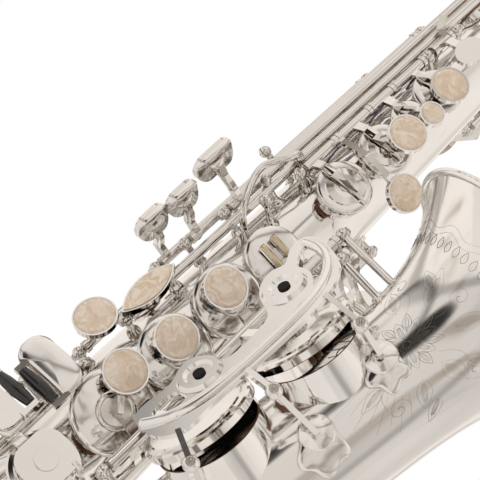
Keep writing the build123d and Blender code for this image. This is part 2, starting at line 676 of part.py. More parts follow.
# G sharp
hole = HOLES["g_sharp"]
key = tube_key("key_g_sharp", tube_point(-59.0, 29.4, 209.0), tube_point(-59.0, 29.4, 243.0))
key.hinge()
key.seat(hole)
key.arm([key.on(hole.z), over(hole, -hole.cup_r - 0.5, 5.6), over(hole, -hole.cup_r + 5, 7.0),
         over(hole, 0, 7.0)], 5.4, 2.2, outward(hole.azimuth), 4.2)
key.arm([key.on(227), tube_point(-72, 38, 227.5), tube_point(-77, 46.6, 228)], 5.0, 2.4, UP)
key.add(plate(Vector(45.0, -13.0, 228.0), Vector(0.97, -0.24, 0), UP,
              RectangleRounded(17, 30, 5.0), 2.2))


# ================================================================ palm keys
def palm_rod_r(z):
    return 27.5 - 2.5 * (z - 337) / 112.0


PALM_TOUCH_R = 40.0
# hole: rod azimuth, rod ends, height of the touch arm, touch azimuth and height
PALM_KEYS = {"palm_d": (-92, 337, 391, 344.0, -122, 336.0),
             "palm_e_flat": (-104, 352, 420, 359.5, -132, 354.0),
             "palm_f": (-116, 370, 449, 377.5, -146, 374.0)}
for note, (rod_az, low, high, arm_z, touch_az, touch_z) in PALM_KEYS.items():
    key = tube_key("key_" + note, tube_point(rod_az, palm_rod_r(low), low),
                   tube_point(rod_az, palm_rod_r(high), high), SLIM_POST)
    key.hinge()
    key.seat_with_arm(HOLES[note], 4.4, 3.4, 2.6)
    touch = tube_point(touch_az, PALM_TOUCH_R, touch_z)
    normal = (outward(touch_az) * 0.86 + sideways(touch_az) * -0.5).normalized()
    bend = tube_point(rod_az * 0.75 + touch_az * 0.25, palm_rod_r(arm_z) + 9, arm_z)
    key.arm([key.on(arm_z), bend, touch], 5.0, 2.5, UP, 4.4)
    key.add(plate(touch - normal * 0.6, normal, UP, Ellipse(12.5, 7.0), 2.6))

# ================================================================ octave keys, +Y side of tube
BACK = Vector(0, 1, 0)


def back_key(name, half, y, z, foot_x, foot_sink, sizes):
    """key on a crosswise rod between two posts splayed off the back of the tube"""
    start, end = Vector(-half, y, z), Vector(half, y, z)
    key = Key(name, start, end)
    key.add(cyl((HINGE_END - half, y, z), (half - HINGE_END, y, z), HINGE_R))
    add_rod(start, end)
    for side in (-1, 1):
        add_post(Vector(side * half, y, z),
                 Vector(side * foot_x, tube_r(z) - foot_sink, z), sizes)
    return key


z = 362.0
y = tube_r(z) + 7.0
key = back_key("octave_lever", 11.0, y, z, 8.0, 2.5, (3.0, 1.6, 3.2))
key.arm([(0, y, z), (0, y + 3.2, 352), (0, y + 4.4, 342)], 8.0, 2.6, BACK, 10.0)
key.add(plate(Vector(0, y + 3.4, 334), Vector(0, 1, 0.06), Vector(1, 0, 0),
              Ellipse(9.0, 11.5), 2.8))
key.arm([(0, y, z), (0, y + 2.0, 371), (0, y + 1.4, 379)], 5.0, 2.4, BACK, 4.0)

z = 394.0
y = tube_r(z) + 6.4
key = back_key("body_octave_key", 9.0, y, z, 6.5, 2.0, SLIM_POST)
key.seat(HOLES["pip"])
key.arm([(0, y, z), (0, y + 2.6, 402), over(HOLES["pip"], 0, 7.2)], 4.0, 2.0, BACK, 3.4)
key.arm([(0, y, z), (0, y + 2.0, 386)], 4.0, 2.0, BACK, 3.4)

# ================================================================ neck receiver
RECEIVER_R = TUBE_TOP_R + 3.2
TENON_R = 12.3
LUG_Z = TUBE_LEN + 6
SCREW_Y = RECEIVER_R + 5.0
receiver = cyl((0, 0, TUBE_LEN - 18), (0, 0, TUBE_LEN + 16), RECEIVER_R)
lug = Box(10, 12, 16).moved(Location((0, RECEIVER_R + 3.5, LUG_Z)))
lug_slot = Box(1.6, 20, 20).moved(Location((0, RECEIVER_R + 3.0, LUG_Z + 1.0)))
receiver = receiver.fuse(lug).cut(
    lug_slot, tube_solid,
    cyl((0, 0, TUBE_LEN - BEAD_LEN - 0.05), (0, 0, TUBE_LEN + 0.02), TUBE_TOP_R + BEAD_H + 0.02),
    cyl((0, 0, TUBE_LEN), (0, 0, TUBE_LEN + 20), TENON_R + 0.06),
    cyl((-20, SCREW_Y, LUG_Z), (20, SCREW_Y, LUG_Z), 2.1))
put("neck_receiver", largest(receiver))

screw = Vector(0, SCREW_Y, LUG_Z)
put("neck_clamp_screw", fuse([
    cyl(screw + Vector(-8, 0, 0), screw + Vector(5.4, 0, 0), 2.0),
    cyl(screw + Vector(5.4, 0, 0), screw + Vector(8.4, 0, 0), 3.6),
    Solid.make_box(5.0, 1.8, 11.0, Plane(origin=screw + Vector(8.2, -0.9, -5.5)))]))

# ================================================================ neck tube
# tenon, collar, then a bend rising and turning to +Y, then a straight end
NECK_BEND_R, NECK_ARC, NECK_STEPS = 62.0, 82.0, 14
NECK_BASE_R, NECK_BEND_END_R, NECK_TIP_R = 12.0, 8.9, 7.4
NECK_STRAIGHT = 62.0
TENON_Z, TENON_TOP = TUBE_LEN + 1.0, TUBE_LEN + 22.0
BEND_Z = TENON_TOP + 8


def neck_point(angle, off):
    """point off the bend's centre line, away from its centre"""
    a, r = radians(angle), NECK_BEND_R + off
    return Vector(0, NECK_BEND_R - r * cos(a), BEND_Z + r * sin(a))


def neck_outward(angle):
    return (neck_point(angle, 1) - neck_point(angle, 0)).normalized()


def neck_along(angle):
    return Vector(0, sin(radians(angle)), cos(radians(angle)))


def bend_r(angle):
    return NECK_BASE_R + (NECK_BEND_END_R - NECK_BASE_R) * angle / NECK_ARC


def neck_bend(inset):
    wires = []
    for i in range(NECK_STEPS + 1):
        angle = NECK_ARC * i / NECK_STEPS
        plane = Plane(origin=neck_point(angle, 0), x_dir=(1, 0, 0), z_dir=neck_along(angle))
        wires.append(Wire.make_circle(bend_r(angle) - inset, plane))
    return Solid.make_loft(wires)


neck_end, neck_dir = neck_point(NECK_ARC, 0), neck_along(NECK_ARC)


def neck_straight(extra_r):
    return cone(neck_end, neck_end + neck_dir * NECK_STRAIGHT,
                NECK_BEND_END_R + extra_r, NECK_TIP_R + extra_r)


straight, straight_bore = neck_straight(0), neck_straight(-WALL)
bend_solid, bend_bore = neck_bend(0), neck_bend(WALL)
tenon = cyl((0, 0, TENON_Z), (0, 0, TENON_TOP), TENON_R)
collar = cyl((0, 0, TENON_TOP - 5.8), (0, 0, TENON_TOP - 0.5), RECEIVER_R - 1.0)
riser = cyl((0, 0, TENON_TOP), (0, 0, BEND_Z), NECK_BASE_R)
riser_bore = cyl((0, 0, TENON_Z - 1), (0, 0, BEND_Z), NECK_BASE_R - WALL)
put("neck_tube", fuse([tenon, collar, riser, bend_solid, straight]).cut(
    riser_bore, bend_bore, straight_bore))

# cork sleeve on the straight end
CORK_THICK = 1.5
CORK_FROM, CORK_TO = NECK_STRAIGHT - 34, NECK_STRAIGHT - 1
cork_r = (NECK_BEND_END_R + (NECK_TIP_R - NECK_BEND_END_R) * CORK_FROM / NECK_STRAIGHT
          + CORK_THICK)
put("neck_cork", cone(neck_end + neck_dir * CORK_FROM, neck_end + neck_dir * CORK_TO,
                      cork_r, cork_r - 0.2).cut(neck_straight(0.01)))

# ================================================================ mouthpiece, reed, ligature
MOUTHPIECE_LEN = 86.0
ACROSS = Vector(1, 0, 0)
mouth_start = neck_end + neck_dir * (NECK_STRAIGHT - 24)
mouth_up = ACROSS.cross(neck_dir).normalized()


def mouth_point(along, lift=0.0, x=0.0):
    return mouth_start + neck_dir * along + mouth_up * lift + Vector(x, 0, 0)


mouthpiece = fuse([cyl(mouth_point(0), mouth_point(8), 13.0),
                   cone(mouth_point(8), mouth_point(46), 12.6, 11.6),
                   cone(mouth_point(46), mouth_point(MOUTHPIECE_LEN), 11.6, 8.0)])
mouthpiece = mouthpiece.cut(cyl(mouth_point(-1), mouth_point(27), cork_r + 0.06),
                            cyl(mouth_point(26), mouth_point(62), 6.5))
beak_plane = Plane(origin=mouth_point(MOUTHPIECE_LEN, 1.2), x_dir=ACROSS,
                   z_dir=(mouth_up + neck_dir * 0.52).normalized())
mouthpiece = mouthpiece.cut(extrude(beak_plane * Rectangle(60, 90), 40))
table_plane = Plane(origin=mouth_point(60, -8.6), x_dir=ACROSS, z_dir=mouth_up * -1)
mouthpiece = mouthpiece.cut(extrude(table_plane * Rectangle(60, 76), 20))
put("mouthpiece", largest(mouthpiece))

reed_plane = Plane(origin=mouth_point(58, -8.66), x_dir=neck_dir, z_dir=mouth_up * -1)
reed = extrude(reed_plane * RectangleRounded(56, 13.4, 2.0), 2.4)
taper_plane = Plane(origin=mouth_point(70, -11.06), x_dir=ACROSS,
                    z_dir=(mouth_up * -1 + neck_dir * 0.085).normalized())
put("reed", largest(reed.cut(extrude(taper_plane * Rectangle(40, 60), 10))))

# ligature: band, block below it, two thumb screws
BAND_FROM, BAND_LEN, BAND_BORE_R, SCREW_DROP = 33, 19, 13.1, -17.2
band_bore = cyl(mouth_point(BAND_FROM - 1), mouth_point(BAND_FROM + BAND_LEN + 1), BAND_BORE_R)
band = cyl(mouth_point(BAND_FROM), mouth_point(BAND_FROM + BAND_LEN), 14.4).cut(band_bore)
block = Solid.make_box(6, 6, BAND_LEN, Plane(origin=mouth_point(BAND_FROM, -19.5, -3),
                                             x_dir=ACROSS, z_dir=neck_dir))
ligature = fuse([band, block]).cut(band_bore)
for along in (BAND_FROM + 5, BAND_FROM + 14):
    ligature = ligature.fuse(
        cyl(mouth_point(along, SCREW_DROP, -11), mouth_point(along, SCREW_DROP, 4), 1.4),
        cyl(mouth_point(along, SCREW_DROP, -14), mouth_point(along, SCREW_DROP, -10.5), 3.6))
put("ligature", largest(ligature))

# ================================================================ neck octave key
HINGE_ANGLE, NECK_PIP_ANGLE = 38.0, 64.0
hinge = neck_point(HINGE_ANGLE, 17.0)
pip_base = bend_r(NECK_PIP_ANGLE)
pip_top = pip_base + 4.0
pip_dir = neck_outward(NECK_PIP_ANGLE)
key = Key("neck_octave_key", hinge + Vector(-6.4, 0, 0), hinge + Vector(6.4, 0, 0))
key.add(cyl(hinge - Vector(3.4, 0, 0), hinge + Vector(3.4, 0, 0), HINGE_R))
key.cup(neck_point(NECK_PIP_ANGLE, pip_top), pip_dir, HOLES["pip"].cup_r)
key.arm([hinge, neck_point(46, 19.6), neck_point(56, 19.0),
         neck_point(NECK_PIP_ANGLE, pip_top + 6.6)], 4.0, 2.0, pip_dir, 3.4)
key.arm([hinge, neck_point(26, 19.5), neck_point(12, 20.5), neck_point(0, 22.5)],
        4.6, 2.2, neck_outward(20), 5.0)
# ring round the foot of the neck
z = BEND_Z - 9.5
key.arm([neck_point(0, 22.5), Vector(0, -21.8, z + 3), Vector(0, -20.6, z)], 5.0, 2.2, BACK, 4.0)
key.add(cyl((0, 0, z - 1.2), (0, 0, z + 1.2), 22.0).cut(cyl((0, 0, z - 3), (0, 0, z + 3), 19.6)))

# its two posts, rod and octave pip
post_down = neck_outward(HINGE_ANGLE) * -8.4
rod_hole = cyl(hinge - Vector(9, 0, 0), hinge + Vector(9, 0, 0), ROD_R)
for side in (-1, 1):
    head = hinge + Vector(side * 6.0, 0, 0)
    neck_post = fuse([ball(head, 2.5), cyl(head + post_down, head, 1.5)])
    pieces = solids_of(neck_post.cut(bend_solid, rod_hole))
    put("neck_octave_posts", [piece for piece in pieces if piece.volume > 0.5])
put("neck_octave_posts", cyl(hinge - Vector(7.5, 0, 0), hinge + Vector(7.5, 0, 0), ROD_R))
pip = cyl(neck_point(NECK_PIP_ANGLE, pip_base - 0.5), neck_point(NECK_PIP_ANGLE, pip_top), 2.8)
pip_bore = cyl(neck_point(NECK_PIP_ANGLE, pip_base - 3),
               neck_point(NECK_PIP_ANGLE, pip_base + 5), 1.2)
put("neck_octave_posts", pip.cut(bend_solid, pip_bore))

# ================================================================ fittings on the body
# strap ring on a saddle
RING_BORE_R = 5.0
ring = cyl((-1.8, STRAP_Y, STRAP_Z), (1.8, STRAP_Y, STRAP_Z), 8.2).cut(
    cyl((-3, STRAP_Y, STRAP_Z), (3, STRAP_Y, STRAP_Z), RING_BORE_R))
y = tube_r(STRAP_Z)
saddle = fuse([Solid.make_box(11, 6, 34, Plane(origin=(-5.5, y - 3.0, STRAP_Z - 17))),
               cyl((0, y, STRAP_Z), (0, y + 3.2, STRAP_Z), 5.2)])
put("strap_ring", largest(fuse([ring, saddle]).cut(
    tube_solid, cyl((-8, STRAP_Y, STRAP_Z), (8, STRAP_Y, STRAP_Z), RING_BORE_R))))

y = tube_r(150)
hook = [Solid.make_box(13, 6, 22, Plane(origin=(-6.5, y - 3.5, 139)))]
hook += strip([(0, y + 1.4, 146), (0, y + 10, 147), (0, y + 18, 151), (0, y + 21.5, 158),
               (0, y + 19.5, 166)], 11.0, 2.8, Vector(0, 0.3, 1), 9.0)
put("thumb_hook", largest(fuse(hook).cut(tube_solid)))

z = 311
y = tube_r(z)
thumb_rest = fuse([cyl((0, y - 3, z), (0, y + 3.2, z), 8.4),
                   lathe([(0, 0), (7.8, 0), (7.2, 1.6), (4, 2.4), (0, 2.7)],
                         (0, y + 3.1, z), BACK)])
put("thumb_rest", largest(thumb_rest.cut(tube_solid)))

# body-to-bell brace: ring with two stems and two saddles
BRACE_X, BRACE_Z = 19.0, 118.0
s = (Vector(0, -60, BRACE_Z) - BELL_START).dot(BELL_DIR)
bell_y = bell_axis(s).Y + bell_r(s) / cos(_tilt)
mid_y = (-tube_r(BRACE_Z) + bell_y) / 2
brace = fuse([
    lathe([(12.0, -3.0), (15.0, -3.0), (15.0, 3.0), (12.0, 3.0)], (BRACE_X, mid_y, BRACE_Z), UP),
    cyl((BRACE_X, mid_y + 13.0, BRACE_Z), (11.0, -8.0, BRACE_Z), 2.9),
    cyl((BRACE_X, mid_y - 13.0, BRACE_Z), (11.0, -92.0, BRACE_Z), 2.9),
    cyl((15.2, -20.0, BRACE_Z), (12.6, -12.0, BRACE_Z), 6.0),
    cyl((15.6, bell_y + 5.2, BRACE_Z), (13.6, bell_y - 8.0, BRACE_Z), 6.0)])
brace = brace.cut(tube_solid, bell_solid)
put("bell_brace", [solid for solid in solids_of(brace) if solid.volume > 400][:1])

# ================================================================ bell key guard
# a sheet over the low B and low B flat cups, in the plane x = GUARD_X; its points are
# (distance along the bell axis, distance forward of it)
GUARD_X = -57.0
GUARD_OUTLINE = [
    (79, -4), (81, -9), (90, -11), (99, -11.4), (103, -14), (108, -16.6), (113.5, -15.2),
    (117, -9.5), (119.5, -3), (127, -2.0), (136, -4), (144, -8), (146, -14), (148.5, -22),
    (154, -28.6), (161, -30.5), (165, -29), (171, -34), (180, -36), (183, -28), (182, -18),
    (178.5, -6.5), (171, 1.5), (160.5, 6.6), (143, 10), (127, 12), (112, 13.6),
    (101.5, 15.3), (89, 16.8), (81.5, 11)]
GUARD_UPPER_HOLE = [(168, -21.5), (171.5, -27.5), (177, -30.5), (177.8, -24), (175.5, -15.5),
                    (170.5, -7.6), (165.0, -5.0), (168.5, -12.5)]
GUARD_LOWER_HOLE = [(85.5, -3.0), (90.0, -5.6), (96.0, -5.8), (100.4, -2.6), (99.4, 1.8),
                    (94.0, 3.0), (88.0, 1.4)]
GUARD_RIB = [(81.0, -1.0), (90, 5.5), (102, 8.8), (116, 8.8), (133, 6.8), (151, 3.6),
             (166.8, -2.2), (176.2, -11.8), (179.6, -22), (178.6, -32)]
GUARD_RIB_R = 2.3
GUARD_BOSSES = [(157.3, -16.0), (109.0, -4.4)]
# feet: top on the sheet (along, forward), knee (along, forward, x), foot on the bell
# (along, azimuth)
GUARD_FEET = [((121.7, 11.5), (124, 23.0, -52.0), (131, 48.0)),
              ((164.0, 3.5), (166.5, 18.0, -48.0), (169.0, 62.0)),
              ((88.0, 14.0), (84.0, 24.0, -50.0), (80.0, 52.0))]
BUMPER_R = 2.5


def guard_point(s, forward, dx=0.0):
    p = bell_axis(s) + BELL_FRONT * forward
    return Vector(GUARD_X + dx, p.Y, p.Z)


# the plane's y axis runs backward, so forward distances change sign
guard_plane = Plane(origin=guard_point(0, 0), x_dir=BELL_DIR, z_dir=RIGHT)


def guard_face(points):
    outline = Edge.make_spline([Vector(s, -forward, 0) for s, forward in points], periodic=True)
    return guard_plane * make_face(outline)


sheet = extrude(guard_face(GUARD_OUTLINE), 1.8).solids()[0]
for opening in (GUARD_UPPER_HOLE, GUARD_LOWER_HOLE):
    sheet = sheet.cut(extrude(guard_face(opening), 4, both=True).solids()[0])
guard_parts = [sheet]
for s, forward in GUARD_BOSSES:
    guard_parts.append(lathe([(0, -3.0), (6.2, -3.0), (9.8, 0), (9.8, 1.8), (8.6, 3.4),
                              (6.4, 3.4), (5.2, 2.2), (0, 2.2)],
                             guard_point(s, forward), RIGHT))
rib_line = Edge.make_spline([guard_point(s, forward, -1.6) for s, forward in GUARD_RIB])
rib_face = Face(Wire.make_circle(GUARD_RIB_R, Plane(origin=rib_line @ 0, z_dir=rib_line % 0)))
guard_parts.append(Solid.sweep(rib_face, Wire([rib_line])))
for end in (0, 1):
    guard_parts.append(ball(rib_line @ end, GUARD_RIB_R))
for (top_s, top_forward), (knee_s, knee_forward, knee_x), (foot_s, azimuth) in GUARD_FEET:
    knee = bell_axis(knee_s) + BELL_FRONT * knee_forward
    knee = Vector(knee_x, knee.Y, knee.Z)
    centre, normal, r = bell_axis(foot_s), bell_outward(azimuth), bell_r(foot_s)
    foot = centre + normal * (r + 0.6)
    guard_parts += strip([guard_point(top_s, top_forward, -0.9), knee,
                          foot + (knee - foot).normalized() * 1.0], 5.0, 2.2, BELL_DIR, 5.0)
    guard_parts.append(cyl(centre + normal * (r - 3), centre + normal * (r + 1.6), 7.0))
# fused one at a time
guard = guard_parts[0]
for part in guard_parts[1:]:
    guard = fuse([guard, part])
bumper_holes = [cyl(guard_point(s, forward, 8), guard_point(s, forward, -8), BUMPER_R + 0.05)
                for s, forward in GUARD_BOSSES]
put("bell_key_guard", largest(guard.cut(bell_solid, NODES["bell"][0], *bumper_holes)))
put("guard_bumpers", [cyl(guard_point(s, forward, 4.2), guard_point(s, forward, -3.0), BUMPER_R)
                      for s, forward in GUARD_BOSSES])


# ================================================================ little finger key guards
def bow_point(turn, around, r):
    """point r from the bow centre line: turn along the bow, around its section"""
    turn, around = radians(turn), radians(around)
    reach = BOW_BEND_R + r * cos(around)
    return Vector(-r * sin(around), -BOW_BEND_R + reach * cos(turn), -reach * sin(turn))


# low C: plate outside the cup on three legs
x = low_c_rim.X - 18.5
guard_parts = [plate(Vector(x, LOW_C.Y, LOW_C.Z), RIGHT, BACK, RectangleRounded(30, 30, 9), 1.8),
               cyl((x + 1.0, LOW_C.Y, LOW_C.Z), (x - 2.6, LOW_C.Y, LOW_C.Z), 5.4)]
# legs: start (y, z), knee (x from the plate, y, z), foot on the bow (turn, around)
LOW_C_LEGS = [((-17, -34), (5, -28.5, -39.5), (76, 90)),
              ((2, -35), (6, 12.0, -43.0), (39, 36)),
              ((-18, -18), (5, -33.5, -18.5), (61, 134))]
for (y, z), (knee_dx, knee_y, knee_z), (turn, around) in LOW_C_LEGS:
    foot = bow_point(turn, around, BOW_TUBE_R - 1.5)
    guard_parts += strip([(x - 0.9, y, z), (x + knee_dx, knee_y, knee_z), foot],
                         5.0, 2.2, Vector(0, 0.5, 0.87), 5.0)
    guard_parts.append(cyl(foot, bow_point(turn, around, BOW_TUBE_R + 1.4), 5.0))
put("little_finger_key_guards", largest(fuse(guard_parts).cut(
    bow_solid, tube_solid, bell_solid, NODES["bow"][0])))

# low E flat: plate over the cup on two legs
centre = over(e_flat, 0, 14.0)
normal, side = outward(e_flat.azimuth), sideways(e_flat.azimuth)
guard_parts = [plate(centre, normal, side, RectangleRounded(22, 24, 8), 1.8),
               cyl(centre - normal * 1.0, centre + normal * 2.8, 5.0)]
for dz in (-7, 7):
    z = e_flat.z + dz
    leg = centre + UP * dz
    guard_parts += strip([leg - side * 7.7 + normal * 0.9, leg - side * 21.0 - normal * 7.0,
                          tube_point(e_flat.azimuth - 52, tube_r(z) - 2.0, z)],
                         4.6, 2.0, UP, 4.6)
put("little_finger_key_guards", largest(fuse(guard_parts).cut(
    tube_solid, NODES["body_tube"][0])))

# ================================================================ finish keys, posts, rods
for key in KEYS:
    key.finish()


def boxes_overlap(one, other):
    a, b = one.bounding_box(), other.bounding_box()
    return (a.min.X < b.max.X and b.min.X < a.max.X and a.min.Y < b.max.Y
            and b.min.Y < a.max.Y and a.min.Z < b.max.Z and b.min.Z < a.max.Z)


# posts are trimmed to the shells and drilled for the rods
trimmers = [tube_solid, bow_solid, bell_solid, NODES["body_tube"][0], NODES["bow"][0],
            NODES["bell"][0]] + RODS
for post in POSTS:
    near = [trimmer for trimmer in trimmers if boxes_overlap(post, trimmer)]
    put("pivot_posts", largest(post.cut(*near) if near else post))
put("pivot_rods", RODS)

# ================================================================ write
for file in os.listdir("parts"):
    if file.endswith(".step"):
        os.remove(os.path.join("parts", file))
to_strap_ring = Location((0, -STRAP_Y, -STRAP_Z))
for name, items in NODES.items():
    items = [item.moved(to_strap_ring) for item in items]
    shape = Compound(children=items) if len(items) > 1 else items[0]
    export_step(shape, "parts/%s.step" % name)
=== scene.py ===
# A saxophone: materials for the loaded pieces, plus key caps, touches, posts, springs, screws and
# the bell's engraving. Added parts are laid out in millimetres of the body tube's own frame: the
# tube runs up +z from the bow at z = 0, and the bell stands on its -y side, opening upward and
# leaning away from it. The scene is in metres, with its origin at the strap ring.
import bmesh
import bpy
import json
import math
import random
from mathutils import Matrix, Vector

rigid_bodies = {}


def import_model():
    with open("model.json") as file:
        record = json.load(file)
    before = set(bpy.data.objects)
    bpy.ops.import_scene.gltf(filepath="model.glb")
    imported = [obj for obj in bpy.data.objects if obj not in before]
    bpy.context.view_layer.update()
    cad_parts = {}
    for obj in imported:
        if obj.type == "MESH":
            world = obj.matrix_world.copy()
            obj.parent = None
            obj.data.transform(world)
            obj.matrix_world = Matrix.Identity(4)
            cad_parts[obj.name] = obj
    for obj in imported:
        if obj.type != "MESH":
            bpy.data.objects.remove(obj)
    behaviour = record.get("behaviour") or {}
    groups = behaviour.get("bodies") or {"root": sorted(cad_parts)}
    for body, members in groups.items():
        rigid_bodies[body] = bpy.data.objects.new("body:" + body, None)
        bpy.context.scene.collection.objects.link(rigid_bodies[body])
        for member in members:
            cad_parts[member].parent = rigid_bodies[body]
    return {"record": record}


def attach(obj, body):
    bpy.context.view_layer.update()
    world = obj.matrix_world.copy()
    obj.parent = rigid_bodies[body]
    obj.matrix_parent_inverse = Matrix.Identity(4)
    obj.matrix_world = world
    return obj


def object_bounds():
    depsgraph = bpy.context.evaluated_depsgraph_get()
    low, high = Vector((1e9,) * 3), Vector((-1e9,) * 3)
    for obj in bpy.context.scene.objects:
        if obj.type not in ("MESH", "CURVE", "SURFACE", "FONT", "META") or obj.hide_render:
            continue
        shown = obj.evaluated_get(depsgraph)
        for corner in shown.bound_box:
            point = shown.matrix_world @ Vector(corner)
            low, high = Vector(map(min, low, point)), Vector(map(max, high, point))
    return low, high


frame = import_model()
CAD_LO, CAD_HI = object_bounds()
random.seed(7)

X_AXIS, Z_AXIS = Vector((1, 0, 0)), Vector((0, 0, 1))
STRAP_RING = Vector((0.0, 33.0, 200.0))
TUBE_LENGTH = 490.0
TUBE_FOOT_R, TUBE_TOP_R = 29.5, 13.2
CHIMNEY = 2.5                       # height of a tone hole's wall above the tube
BOW_R = 42.0
BELL_LEAN = math.radians(12.0)
BELL_LENGTH = 240.0
BELL_FOOT_R, BELL_THROAT_R, BELL_RIM_R = 30.5, 28.5, 57.5
BELL_FOOT = Vector((0, -BOW_R * (1 + math.cos(BELL_LEAN)), -BOW_R * math.sin(BELL_LEAN)))
BELL_AXIS = Vector((0, -math.sin(BELL_LEAN), math.cos(BELL_LEAN)))
BELL_AWAY = Vector((0, -math.cos(BELL_LEAN), -math.sin(BELL_LEAN)))   # from the tube
BELL_SIDE = -X_AXIS


# ------------------------------------------------------------------ shader helpers
WHITE = (1.0, 1.0, 1.0)


def feed(tree, target, inputs):
    """fill a node's inputs, each from a socket or with a plain value"""
    for key, value in inputs.items():
        if isinstance(value, bpy.types.NodeSocket):
            tree.links.new(value, target.inputs[key])
        else:
            target.inputs[key].default_value = value


def node(tree, kind, inputs=None, **settings):
    made = tree.nodes.new("ShaderNode" + kind)
    for key, value in settings.items():
        setattr(made, key, value)
    feed(tree, made, inputs or {})
    return made


def new_material(name):
    material = bpy.data.materials.new(name)
    material.use_nodes = True
    tree = material.node_tree
    tree.nodes.clear()
    output = node(tree, "OutputMaterial")
    shader = node(tree, "BsdfPrincipled")
    tree.links.new(shader.outputs[0], output.inputs[0])
    return material, tree, shader


def noise(tree, vector, scale, detail, rough, distort=0.0, output=0):
    return node(tree, "TexNoise", {"Scale": scale, "Detail": detail, "Roughness": rough,
                                   "Distortion": distort, "Vector": vector}).outputs[output]


def ramp(tree, value, stops):
    """colour ramp; stops are (position, colour)"""
    made = node(tree, "ValToRGB", {0: value})
    elements = made.color_ramp.elements
    while len(elements) < len(stops):
        elements.new(0.5)
    for i, (position, color) in enumerate(stops):
        elements[i].position = position
        elements[i].color = (*color, 1.0)
    return made.outputs[0]


def remap(tree, value, to, source=(0.0, 1.0)):
    return node(tree, "MapRange", {"From Min": source[0], "From Max": source[1],
                                   "To Min": to[0], "To Max": to[1], "Value": value}).outputs[0]


def multiply(tree, a, b, factor):
    return node(tree, "Mix", {"Factor": factor, "A": a, "B": b},
                data_type="RGBA", blend_type="MULTIPLY").outputs["Result"]


def bump(tree, height, strength, distance):
    return node(tree, "Bump", {"Strength": strength, "Distance": distance,
                               "Height": height}).outputs[0]


# ------------------------------------------------------------------ materials
def metal(name, dark, light, rough, wave=0.0, painted_reflection=0.0):
    """plated metal: cloudy polish, hair scratches and painted shade in the hollows;
    wave bends its surface; the reflection weight paints dark patches of imagined surroundings
    into the colour, a painted reflection"""
    material, tree, shader = new_material(name)
    coords = node(tree, "TexCoord")
    place = coords.outputs["Object"]
    cloud = noise(tree, place, scale=26.0, detail=3.0, rough=0.55)
    color = ramp(tree, cloud, [(0.30, dark), (0.70, light)])
    # Painted shade: the colour turns warm brown where ambient occlusion finds hollows, standing
    # in for the shade that falls there
    hollows = node(tree, "AmbientOcclusion", {"Distance": 0.006}, samples=4)
    painted_hollow_shade = ramp(tree, hollows.outputs["AO"], [(0.10, (0.50, 0.42, 0.35)), (0.75, WHITE)])
    color = multiply(tree, color, painted_hollow_shade, factor=0.75)
    # Painted reflection: view-dependent dark and grey patches multiplied into the colour stand in
    # for reflections of cluttered surroundings
    if painted_reflection:
        patches = noise(tree, coords.outputs["Reflection"],
                        scale=2.7, detail=2.0, rough=0.5, distort=0.5)
        shade = ramp(tree, patches, [(0.36, (0.16, 0.125, 0.10)), (0.42, (0.52, 0.48, 0.44)),
                                     (0.47, (0.90, 0.89, 0.875)), (0.56, WHITE)])
        color = multiply(tree, color, shade, factor=painted_reflection)
    smear = noise(tree, place, scale=70.0, detail=5.0, rough=0.6, distort=0.4)
    stretched = node(tree, "Mapping", {"Scale": (900.0, 900.0, 90.0), "Vector": place})
    hair = noise(tree, stretched.outputs[0], scale=1.0, detail=2.0, rough=0.5)
    swell = noise(tree, place, scale=38.0, detail=1.0, rough=0.4)
    scratches = node(tree, "Math", {0: hair, 1: 0.02}, operation="MULTIPLY")
    relief = node(tree, "Math", {0: swell, 1: wave, 2: scratches.outputs[0]},
                  operation="MULTIPLY_ADD")
    feed(tree, shader, {
        "Base Color": color,
        "Metallic": 1.0,
        "Roughness": remap(tree, smear, to=rough, source=(0.25, 0.75)),
        "Normal": bump(tree, relief.outputs[0], strength=0.35, distance=0.0004)})
    return material


def pearl(name):
    """mother-of-pearl: warped clouds of cream under a clear coat"""
    material, tree, shader = new_material(name)
    place = node(tree, "TexCoord").outputs["Object"]
    warp = noise(tree, place, scale=90.0, detail=3.0, rough=0.5, distort=1.2, output="Color")
    warped = node(tree, "VectorMath", {0: warp, 1: (0.016, 0.016, 0.016), 2: place},
                  operation="MULTIPLY_ADD")
    cloud = noise(tree, warped.outputs[0], scale=150.0, detail=3.0, rough=0.5, distort=1.4)
    feed(tree, shader, {
        "Base Color": ramp(tree, cloud, [
            (0.26, (0.66, 0.51, 0.375)), (0.42, (0.74, 0.60, 0.465)),
            (0.54, (0.82, 0.70, 0.575)), (0.66, (0.90, 0.815, 0.715)),
            (0.80, (0.74, 0.60, 0.47))]),
        "Roughness": remap(tree, cloud, to=(0.16, 0.34)),
        "Coat Weight": 0.6,
        "Coat Roughness": 0.06,
        "Subsurface Weight": 0.12,
        "Subsurface Radius": (0.004, 0.003, 0.002),
        "Sheen Weight": 0.1,
        "Normal": bump(tree, cloud, strength=0.18, distance=0.0003)})
    return material


def grained(name, dark, light, scale, rough, relief, coat=0.0, specular=0.5, stretch=None):
    """non-metal with one fine grain; relief is the bump's (strength, distance)"""
    material, tree, shader = new_material(name)
    place = node(tree, "TexCoord").outputs["Object"]
    if stretch:
        place = node(tree, "Mapping", {"Scale": stretch, "Vector": place}).outputs[0]
    grain = noise(tree, place, scale=scale, detail=6.0, rough=0.6)
    feed(tree, shader, {
        "Base Color": ramp(tree, grain, [(0.30, dark), (0.70, light)]),
        "Roughness": remap(tree, grain, to=rough),
        "Coat Weight": coat,
        "Specular IOR Level": specular,
        "Normal": bump(tree, grain, strength=relief[0], distance=relief[1])})
    return material


